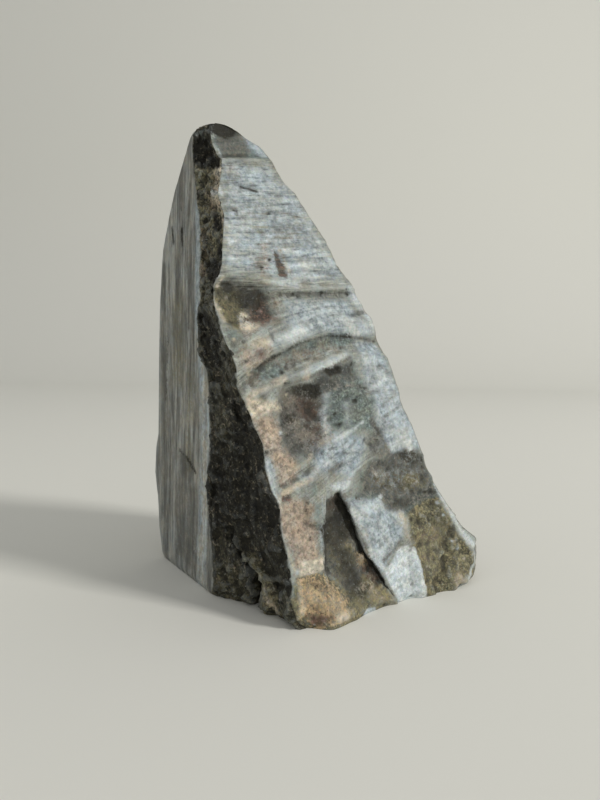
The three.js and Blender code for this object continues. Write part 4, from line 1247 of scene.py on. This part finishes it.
class StudioSettings(bpy.types.PropertyGroup):
    """Light and backdrop."""

    key_power: bpy.props.FloatProperty(
        name="Key power", description="Power of the key light", default=74, min=0, unit="POWER")
    key_size: bpy.props.FloatProperty(
        name="Key size", description="Width of the key light", default=0.6, min=0.01,
        unit="LENGTH")
    fill: bpy.props.FloatProperty(
        name="Fill", description="Strength of the even light from all round", default=0.5, min=0)
    floor: bpy.props.FloatVectorProperty(
        name="Floor", description="Colour of the floor and backdrop",
        default=linear("#e4e4de")[:3], size=3, subtype="COLOR", min=0, max=1)


# ---- Fine relief tree ----
def hackle(add, place, seed, size):
    """Chips: little broken planes, about -0.4 to 0.4 high."""
    scale = add(MATHS, 1.0, size, operation="DIVIDE")
    bend = add(NOISE, place, scale, BEND_DETAIL, output="Color")
    bend = add(VECTORS, bend, MID_COLOUR, operation="SUBTRACT")
    bend = add(VECTORS, bend, size, operation="SCALE")
    bent = add(VECTORS, place, bend, operation="ADD")
    cells = add(CELLS, bent, seed, scale, output="Color", voronoi_dimensions="4D")
    return tilted_planes(add, bent, cells, scale)


def chip_height(add, place, seed, size):
    """Large and smaller chips and the crumb on them, as a share of the chips' depth."""
    small_size, small_depth = SMALL_CHIP
    small = add(MATHS, size, small_size, operation="MULTIPLY")
    chips = hackle(add, place, seed, size)
    chips = total(add, chips, (hackle(add, place, seed, small), small_depth))
    to_a_chip, detail, depth = CRUMB
    scale = add(MATHS, to_a_chip, size, operation="DIVIDE")
    crumb = add(NOISE, place, seed, scale, detail, RELIEF_ROUGHNESS, noise_dimensions="4D")
    crumb = add(MATHS, crumb, depth, -depth / 2, operation="MULTIPLY_ADD")
    return add(MATHS, chips, crumb, operation="ADD")


def groove_height(add, grain, seed, spacing):
    """Grooves, as noise squeezed across the grain and drawn out along it, from -1 to 1."""
    squeezed = add(VECTORS, grain, (1.0, GROOVE_DRAW, 1.0), operation="MULTIPLY")
    scale = add(MATHS, 1.0, spacing, operation="DIVIDE")
    grooves = add(NOISE, squeezed, seed, scale, GROOVE_DETAIL, RELIEF_ROUGHNESS,
                  noise_dimensions="4D")
    return add(MATHS, grooves, 2.0, -1.0, operation="MULTIPLY_ADD")


def relief_tree():
    """Chips on broken stone and grooves along the grain, moved along the surface normal."""
    tree = bpy.data.node_groups.new("Fine stone relief", "GeometryNodeTree")
    face = tree.interface
    face.new_socket("Geometry", in_out="INPUT", socket_type="NodeSocketGeometry")
    for name in ("Chip Size", "Chip Depth", "Groove Spacing", "Groove Depth"):
        socket = face.new_socket(name, in_out="INPUT", socket_type="NodeSocketFloat")
        socket.subtype = "DISTANCE"
    face.new_socket("Seed", in_out="INPUT", socket_type="NodeSocketInt")
    face.new_socket("Stone", in_out="INPUT", socket_type="NodeSocketMaterial")
    face.new_socket("Geometry", in_out="OUTPUT", socket_type="NodeSocketGeometry")
    add = partial(add_node, tree)
    given = add("NodeGroupInput").node.outputs
    place = add("GeometryNodeInputPosition")
    attribute = "GeometryNodeInputNamedAttribute"
    broken, grooved, free = (add(attribute, name) for name in ("broken", "grooved", "free"))
    grain = add(attribute, "grain", data_type="FLOAT_VECTOR")
    seed = add(MATHS, given["Seed"], SEED_STRIDE, operation="MULTIPLY")
    chips = chip_height(add, place, seed, given["Chip Size"])
    chips = add(MATHS, chips, given["Chip Depth"], operation="MULTIPLY")
    chips = add(MATHS, chips, broken, operation="MULTIPLY")
    grooves = groove_height(add, grain, seed, given["Groove Spacing"])
    grooves = add(MATHS, grooves, given["Groove Depth"], operation="MULTIPLY")
    height = total(add, chips, (grooves, grooved))
    height = add(MATHS, height, free, operation="MULTIPLY")
    normal = add("GeometryNodeInputNormal")
    offset = add(VECTORS, normal, height, operation="SCALE")
    shaped = add("GeometryNodeSetPosition",
                 named={"Geometry": given["Geometry"], "Offset": offset})
    real = add("GeometryNodeRealizeInstances", shaped)
    dressed = add("GeometryNodeSetMaterial", named={"Geometry": real, "Material": given["Stone"]})
    add("NodeGroupOutput", dressed)
    return tree


# ---- Stone material ----
def stone_noises(add, place):
    """Each noise by name, from about -1 to 1, with features of its real size."""
    grain = add("ShaderNodeAttribute", output="Vector", attribute_name="grain")
    shapes = {name: (place, *shape) for name, shape in GRAINS.items()}
    for name, (stretch, *shape) in STREAKS.items():
        drawn_out = add(VECTORS, grain, (1.0, stretch, 1.0), operation="MULTIPLY")
        shapes[name] = (drawn_out, *shape)
    noise = {}
    for name, (where, size, detail, rough) in shapes.items():
        value = add(NOISE, where, 1 / (size * MM), detail, rough)
        noise[name] = add(MATHS, value, NOISE_GAIN, -NOISE_GAIN / 2, operation="MULTIPLY_ADD")
    return noise


def stone_masks(add):
    """Each mask by name. `broken` ends at 1, while `rough` goes on to what the side break has."""
    names = (*KINDS, "sawn", "grooved", "ridge", "broken")
    mask = {name: add("ShaderNodeAttribute", output="Fac", attribute_name=name) for name in names}
    mask["rough"] = mask["broken"]
    mask["broken"] = add(MATHS, mask["rough"], 1.0, operation="MINIMUM")
    return mask


def mixture(add, noise, shares, start=0.0):
    """start plus each noise times its share."""
    return total(add, start, *((noise[name], share) for name, share in shares.items()))


def led_by_masks(add, noise, mask, start, rows):
    """start plus noises that grow with masks, as (noise, mask, how fast, from what)."""
    for name, leader, slope, least in rows:
        share = add(MATHS, mask[leader], slope, least, operation="MULTIPLY_ADD")
        start = total(add, start, (noise[name], share))
    return start


def bare_stone(add, noise, mask, settings):
    """Fresh stone and the duller sawn face, each lighter and darker along the grain."""
    shades = []
    for name, (first, second, reach, dark, light) in BARE.items():
        value = add(MATHS, noise[first], noise[second], operation="ADD")
        value = add(RANGE, value, -reach, reach, interpolation_type="SMOOTHSTEP")
        shade = getattr(settings, name)
        shades.append(add(BLEND, value, tone(shade, dark), tone(shade, light), data_type="RGBA"))
    return add(BLEND, mask["sawn"], *shades, data_type="RGBA")


def with_patches(add, noise, mask, settings, colour):
    """The kinds of stone laid over each other, with noise in their tone and at their edges."""
    # Edges crumble on broken stone and run into streaks on grooved stone.
    lying = add(MATHS, mask["grooved"], LYING, operation="MULTIPLY", use_clamp=True)
    upright = add(MATHS, 1.0, lying, operation="SUBTRACT")
    ragged = add(MATHS, mixture(add, noise, CRUMBLY), upright, operation="MULTIPLY")
    ragged = total(add, ragged, (mixture(add, noise, STREAKY), lying))
    strength = add(MATHS, mask["broken"], *GRAINY_OVER, operation="MULTIPLY_ADD")
    grains = add(MATHS, mixture(add, noise, GRAINY), strength, operation="MULTIPLY")
    for kind in KINDS:
        light = kind in LIGHT_KINDS
        shade = getattr(settings, kind)
        darkest, lightest = (tone(shade, 1 + end * SPREADS[kind]) for end in (-1, 1))
        body = add(RANGE, noise["mottle"] if light else grains, -SPREAD_REACH, SPREAD_REACH,
                   interpolation_type="SMOOTHSTEP")
        body = add(BLEND, body, darkest, lightest, data_type="RGBA")
        # Light kinds gain ground where dark ones lose it.
        reach = total(add, mask[kind], (ragged, -RUFFLE if light else RUFFLE))
        amount = add(RANGE, reach, 0.5 - EDGE, 0.5 + EDGE, interpolation_type="SMOOTHSTEP")
        there = add(RANGE, mask[kind], 0.0, FAINTEST, interpolation_type="SMOOTHSTEP")
        amount = add(MATHS, amount, there, operation="MULTIPLY")
        colour = add(BLEND, amount, colour, body, data_type="RGBA")
    return colour


def with_side_crumbs(add, noise, mask, settings, colour):
    """Paler crumbs in the dark skin of the side break, the one face rougher than 1."""
    crumbs = add(RANGE, mixture(add, noise, SIDE_CRUMBS), *SIDE_CRUMB_BAND,
                 interpolation_type="SMOOTHSTEP")
    on_side = add(MATHS, mask["rough"], 1.0, operation="SUBTRACT", use_clamp=True)
    crumbs = add(MATHS, crumbs, on_side, operation="MULTIPLY")
    crumbs = add(MATHS, crumbs, SIDE_CRUMB_SHARE, operation="MULTIPLY")
    return add(BLEND, crumbs, colour, tone(settings.cream, SIDE_CRUMB_TONE), data_type="RGBA")


def with_shading(add, noise, mask, place, colour):
    """Light and dark along the grain and grain by grain, warmth, and a tint for each mineral."""
    share = led_by_masks(add, noise, mask, 1.0, SHADING)
    warmth = add(RANGE, noise["blotch"], -1.0, 1.0, interpolation_type="SMOOTHSTEP")
    warmth = add(BLEND, warmth, WARM, COOL, data_type="RGBA")
    least = 1 - TINT / 2
    tint = add(NOISE, place, 1 / (MINERAL * MM), MINERAL_DETAIL, output="Color")
    tint = add(VECTORS, tint, (TINT, TINT, TINT), operation="MULTIPLY")
    tint = add(VECTORS, tint, (least, least, least), operation="ADD")
    for factor in (share, warmth, tint):
        colour = add(BLEND, 1.0, colour, factor, data_type="RGBA", blend_type="MULTIPLY")
    return colour


def with_specks(add, noise, mask, settings, colour):
    """Dark specks of magnetite and pale ones of bruised talc."""
    strewn = add(MATHS, mask["broken"], *STREWN, operation="MULTIPLY_ADD")
    dark = add(RANGE, noise["dark speck"], *DARK_SPECKS, interpolation_type="SMOOTHSTEP")
    dark = add(MATHS, dark, strewn, operation="MULTIPLY")
    dark = add(MATHS, dark, DARK_SPECK_SHARE, operation="MULTIPLY")
    colour = add(BLEND, dark, colour, tone(settings.umber, 1), data_type="RGBA")
    pale = total(add, noise["pale speck"], (noise["grit"], PALE_SPECK_GRIT))
    pale = add(RANGE, pale, *PALE_SPECKS, interpolation_type="SMOOTHSTEP")
    pale = add(MATHS, pale, strewn, operation="MULTIPLY")
    share = add(MATHS, mask["umber"], *PALE_SPECK_SHARE, operation="MULTIPLY_ADD")
    pale = add(MATHS, pale, share, operation="MULTIPLY")
    return add(BLEND, pale, colour, tone(settings.chalk, PALE_SPECK_AND_RIDGE_TONE), data_type="RGBA")


def with_wear_and_painted_shading(add, noise, mask, settings, colour):
    """Ridges rubbed pale with a painted highlight, and dirt with painted shade in the hollows."""
    proud = total(add, mask["ridge"], (noise["mottle"], RIDGE_NOISE))
    # Painted highlight and wear: proud ridges turn pale.
    rubbed = add(RANGE, proud, *RUBBED_AND_LIT, interpolation_type="SMOOTHSTEP")
    share = add(MATHS, mask["umber"], *RUBBED_AND_LIT_SHARE, operation="MULTIPLY_ADD")
    rubbed = add(MATHS, rubbed, share, operation="MULTIPLY", use_clamp=True)
    colour = add(BLEND, rubbed, colour, tone(settings.chalk, PALE_SPECK_AND_RIDGE_TONE), data_type="RGBA")
    # Painted shade and dirt: hollows turn dark.
    dirt = add(RANGE, proud, *DIRT_AND_SHADE, interpolation_type="SMOOTHSTEP")
    dirt = add(MATHS, dirt, DIRT_AND_SHADE_SHARE, operation="MULTIPLY")
    return add(BLEND, dirt, colour, tone(settings.umber, 1), data_type="RGBA")


def crystal_bump(add, noise, mask, place):
    """Micro-relief: crystals and small broken planes, and fine grooves."""
    scale = 1 / (CRYSTAL * MM)
    planes = tilted_planes(add, place, add(CELLS, place, scale, output="Color"), scale)
    height = add(MATHS, planes, mask["broken"], operation="MULTIPLY")
    height = led_by_masks(add, noise, mask, height, CRYSTAL_RELIEF)
    return add("ShaderNodeBump",
               named={"Height": height, "Distance": BUMP * MM, "Strength": BUMP_STRENGTH})


def soapstone_material(settings):
    """Soapstone (steatite), broken, sawn and weathered, unpolished and dry.

    Talc gives it a dull waxy sheen; bruised talc is almost white; old cracks and the rind carry
    olive, ochre and red-brown iron stains; the grain shows as streaks along the bedding.
    """
    # Besides the stone's own colours, the marks carry painted highlights on lit edges and painted
    # shadow under overhangs and in hollows.
    material = bpy.data.materials.new("Broken soapstone")
    material.use_nodes = True
    tree = material.node_tree
    tree.nodes.clear()
    add = partial(add_node, tree)
    place = add("ShaderNodeTexCoord", output="Object")
    noise = stone_noises(add, place)
    mask = stone_masks(add)
    colour = bare_stone(add, noise, mask, settings)
    for layer in (with_patches, with_side_crumbs):
        colour = layer(add, noise, mask, settings, colour)
    colour = with_shading(add, noise, mask, place, colour)
    for layer in (with_specks, with_wear_and_painted_shading):
        colour = layer(add, noise, mask, settings, colour)
    sheen = add(RANGE, noise["mottle"], -1.0, 1.0, *SHEEN, interpolation_type="SMOOTHSTEP")
    shader = add("ShaderNodeBsdfPrincipled", named={
        "Base Color": colour, "Roughness": sheen, "IOR": TALC_IOR,
        "Specular IOR Level": TALC_SPECULAR, "Normal": crystal_bump(add, noise, mask, place)})
    add("ShaderNodeOutputMaterial", shader)
    return material


# ---- Mesh ----
def grid_mesh(grid):
    """A closed mesh from the grid: quads between rows, a fan over the foot and one on the crest."""
    rows, count = grid.shape[:2]
    points = grid.reshape(-1, 3)
    foot, crest = len(points), len(points) + 1
    tips = [(0, 0, 0), (CREST_CENTRE[0] - PLAN_MIDDLE[0], CREST_CENTRE[1] - PLAN_MIDDLE[1], CREST)]
    points = np.concatenate([points, np.array(tips)]) * MM
    points = np.clip(points, np.array(CAD_BOX[0]), np.array(CAD_BOX[1]))
    i = np.arange(count)
    following = (i + 1) % count
    base = np.arange(rows - 1)[:, None] * count
    quads = np.stack([base + i, base + following, base + following + count, base + i + count],
                     axis=-1).reshape(-1, 4)
    last = (rows - 1) * count
    faces = quads.tolist()
    faces += [(foot, int(b), int(a)) for a, b in zip(i, following)]
    faces += [(crest, int(last + a), int(last + b)) for a, b in zip(i, following)]
    mesh = bpy.data.meshes.new("soapstone_surface")
    mesh.from_pydata(points.tolist(), [], faces)
    mesh.validate()
    return mesh


def store(mesh, name, values, kind="FLOAT"):
    """Keeps one value per point; the tips of foot and crest take those of the nearest points."""
    flat = values.reshape(-1, 3) if kind == "FLOAT_VECTOR" else values.reshape(-1)
    full = np.concatenate([flat, [flat[0]], [flat[-1]]]).astype(np.float32)
    layer = mesh.attributes.new(name, kind, "POINT")
    layer.data.foreach_set("vector" if kind == "FLOAT_VECTOR" else "value", full.reshape(-1))


def read_points(mesh):
    """The places of the mesh's points, in metres."""
    points = np.empty(len(mesh.vertices) * 3, np.float32)
    mesh.vertices.foreach_get("co", points)
    return points.reshape(-1, 3)


def ridges(mesh, shape):
    """How far each point stands proud of its surroundings, in mm."""
    normals = np.array([n.vector for n in mesh.vertex_normals], np.float32)
    grid = (read_points(mesh) / MM)[:shape[0] * shape[1]].reshape(*shape, 3)
    around = np.zeros_like(grid)
    reach = range(-RIDGE_REACH, RIDGE_REACH + 1)
    for a in reach:
        row = np.clip(np.arange(shape[0]) + a, 0, shape[0] - 1)
        for b in reach:
            around += np.roll(grid, b, axis=1)[row]
    away = (grid - around / len(reach) ** 2).reshape(-1, 3)
    return (away * normals[:len(away)]).sum(axis=1)


def with_fine_relief(rough_mesh, settings, context):
    """The mesh with its chips and grooves applied, and the stone material on it."""
    rough_stone = bpy.data.objects.new("rough_stone", rough_mesh)
    context.scene.collection.objects.link(rough_stone)
    tree = relief_tree()
    modifier = rough_stone.modifiers.new("Fine relief", "NODES")
    modifier.node_group = tree
    values = {
        "Chip Size": settings.chip_size, "Chip Depth": settings.chip_depth,
        "Groove Spacing": settings.groove_spacing, "Groove Depth": settings.groove_depth,
        "Seed": RELIEF_SEED, "Stone": soapstone_material(settings),
    }
    for item in tree.interface.items_tree:
        if item.in_out == "INPUT" and item.name in values:
            modifier[item.identifier] = values[item.name]
    context.view_layer.update()
    evaluated = rough_stone.evaluated_get(context.evaluated_depsgraph_get())
    mesh = bpy.data.meshes.new_from_object(evaluated)
    rough_stone.modifiers.remove(modifier)
    bpy.data.objects.remove(rough_stone)
    points = np.clip(read_points(mesh), np.array(CAD_BOX[0]), np.array(CAD_BOX[1]))
    mesh.vertices.foreach_set("co", points.astype(np.float32).reshape(-1))
    mesh.update()
    return mesh


class SOAPSTONE_OT_block(bpy.types.Operator):
    """Build the stone, with its relief and its colours"""

    bl_idname = "soapstone.block"
    bl_label = "Stone"

    def execute(self, context):
        grid, across, face = shape_block()
        on = face_masks(np.broadcast_to(face, across.shape))
        masks = colour_masks(grid, across, on)
        grid = mark_relief(grid, on, masks)
        mesh = grid_mesh(grid)
        for kind in KINDS:
            store(mesh, kind, masks[kind])
        high = grid[..., 2]
        store(mesh, "broken", broken_share(across, high, on, masks))
        store(mesh, "grooved", grooved_share(across, high, on, masks))
        store(mesh, "sawn", on["sawn"])
        store(mesh, "grain", bedding(grid, across, on) * MM, "FLOAT_VECTOR")
        store(mesh, "free", ease(0, FREE_FROM, high) * ease(CREST, CREST - FREE_FROM, high))
        shaped = with_fine_relief(mesh, context.scene.soapstone, context)
        store(shaped, "ridge", ridges(shaped, grid.shape[:2]))
        shaped.polygons.foreach_set("use_smooth", np.ones(len(shaped.polygons), bool))
        stone = bpy.data.objects.new("soapstone_stone", shaped)
        context.scene.collection.objects.link(stone)
        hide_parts(NODE)
        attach(stone, "root")
        return {"FINISHED"}


# ---- Stage ----
def floor_sweep(colour):
    """A matt paper floor that curves up into the backdrop."""
    turns = np.linspace(0, math.pi / 2, SWEEP_STEPS)
    profile = [(FLOOR_FRONT, 0.0), (FLOOR_BACK, 0.0)]
    profile += [(FLOOR_BACK + SWEEP_RADIUS * math.sin(a), SWEEP_RADIUS * (1 - math.cos(a)))
                for a in turns[1:]]
    profile.append((FLOOR_BACK + SWEEP_RADIUS, BACKDROP_TOP))
    points = [(side * FLOOR_HALF_WIDTH, y, z) for y, z in profile for side in (-1, 1)]
    faces = [(2 * i, 2 * i + 1, 2 * i + 3, 2 * i + 2) for i in range(len(profile) - 1)]
    mesh = bpy.data.meshes.new("sweep")
    mesh.from_pydata(points, [], faces)
    mesh.polygons.foreach_set("use_smooth", [True] * len(mesh.polygons))
    paper = bpy.data.materials.new("Matt paper")
    paper.use_nodes = True
    shader = paper.node_tree.nodes["Principled BSDF"]
    shader.inputs["Base Color"].default_value = (*colour, 1)
    shader.inputs["Roughness"].default_value = PAPER_ROUGHNESS
    mesh.materials.append(paper)
    return bpy.data.objects.new("floor_sweep", mesh)


def key_light(settings):
    """The large soft light, high on the right."""
    light = bpy.data.lights.new("Key", "AREA")
    light.energy = settings.key_power
    light.size = settings.key_size
    light.color = linear(KEY_COLOUR)[:3]
    key = bpy.data.objects.new("Key", light)
    key.location = KEY_PLACE
    aim = Vector(KEY_AIM) - key.location
    key.rotation_euler = aim.to_track_quat("-Z", "Y").to_euler()
    return key


def stage_camera():
    """The camera, a little above the middle of the block and level but for a small roll."""
    lens = bpy.data.cameras.new("Camera")
    lens.sensor_width = CAMERA_SENSOR
    lens.lens = CAMERA_LENS
    lens.clip_start = CAMERA_NEAR
    camera = bpy.data.objects.new("Camera", lens)
    pitch, roll = math.radians(CAMERA_PITCH), math.radians(CAMERA_ROLL)
    turn = Matrix.Rotation(math.pi / 2 - pitch, 4, "X") @ Matrix.Rotation(roll, 4, "Z")
    camera.matrix_world = Matrix.Translation(Vector(CAMERA_PLACE) * MM) @ turn
    return camera


class SOAPSTONE_OT_stage(bpy.types.Operator):
    """Build the pale floor, the studio light and the camera"""

    bl_idname = "soapstone.stage"
    bl_label = "Stage"

    def execute(self, context):
        settings = context.scene.soapstone_studio
        sweep, key, camera = floor_sweep(settings.floor), key_light(settings), stage_camera()
        for item in (sweep, key, camera):
            context.scene.collection.objects.link(item)
        sweep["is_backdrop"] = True
        world = bpy.data.worlds.new("Even light")
        world.use_nodes = True
        background = world.node_tree.nodes["Background"]
        background.inputs["Color"].default_value = linear(FILL_COLOUR)
        background.inputs["Strength"].default_value = settings.fill
        context.scene.world = world
        context.scene.camera = camera
        context.scene.view_settings.view_transform = "Standard"
        return {"FINISHED"}


class SOAPSTONE_PT_panel(bpy.types.Panel):
    """Lists the settings and the buttons that build the stone and the stage"""

    bl_label = "Soapstone block"
    bl_idname = "SOAPSTONE_PT_panel"
    bl_space_type = "VIEW_3D"
    bl_region_type = "UI"
    bl_category = "Soapstone"

    def draw(self, context):
        layout = self.layout
        for group in (context.scene.soapstone, context.scene.soapstone_studio):
            for name in group.__annotations__:
                layout.prop(group, name)
        layout.operator("soapstone.block")
        layout.operator("soapstone.stage")


CLASSES = (SoapstoneSettings, StudioSettings, SOAPSTONE_OT_block, SOAPSTONE_OT_stage,
           SOAPSTONE_PT_panel)


def register():
    for item in CLASSES:
        bpy.utils.register_class(item)
    bpy.types.Scene.soapstone = bpy.props.PointerProperty(type=SoapstoneSettings)
    bpy.types.Scene.soapstone_studio = bpy.props.PointerProperty(type=StudioSettings)


def unregister():
    del bpy.types.Scene.soapstone_studio
    del bpy.types.Scene.soapstone
    for item in reversed(CLASSES):
        bpy.utils.unregister_class(item)


def main():
    register()
    bpy.ops.soapstone.block()
    bpy.ops.soapstone.stage()
    sizes = {name: [list(corner) for corner in box]
             for name, box in (("cad", CAD_BOX), ("visual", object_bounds()))}


if __name__ == "__main__":
    main()
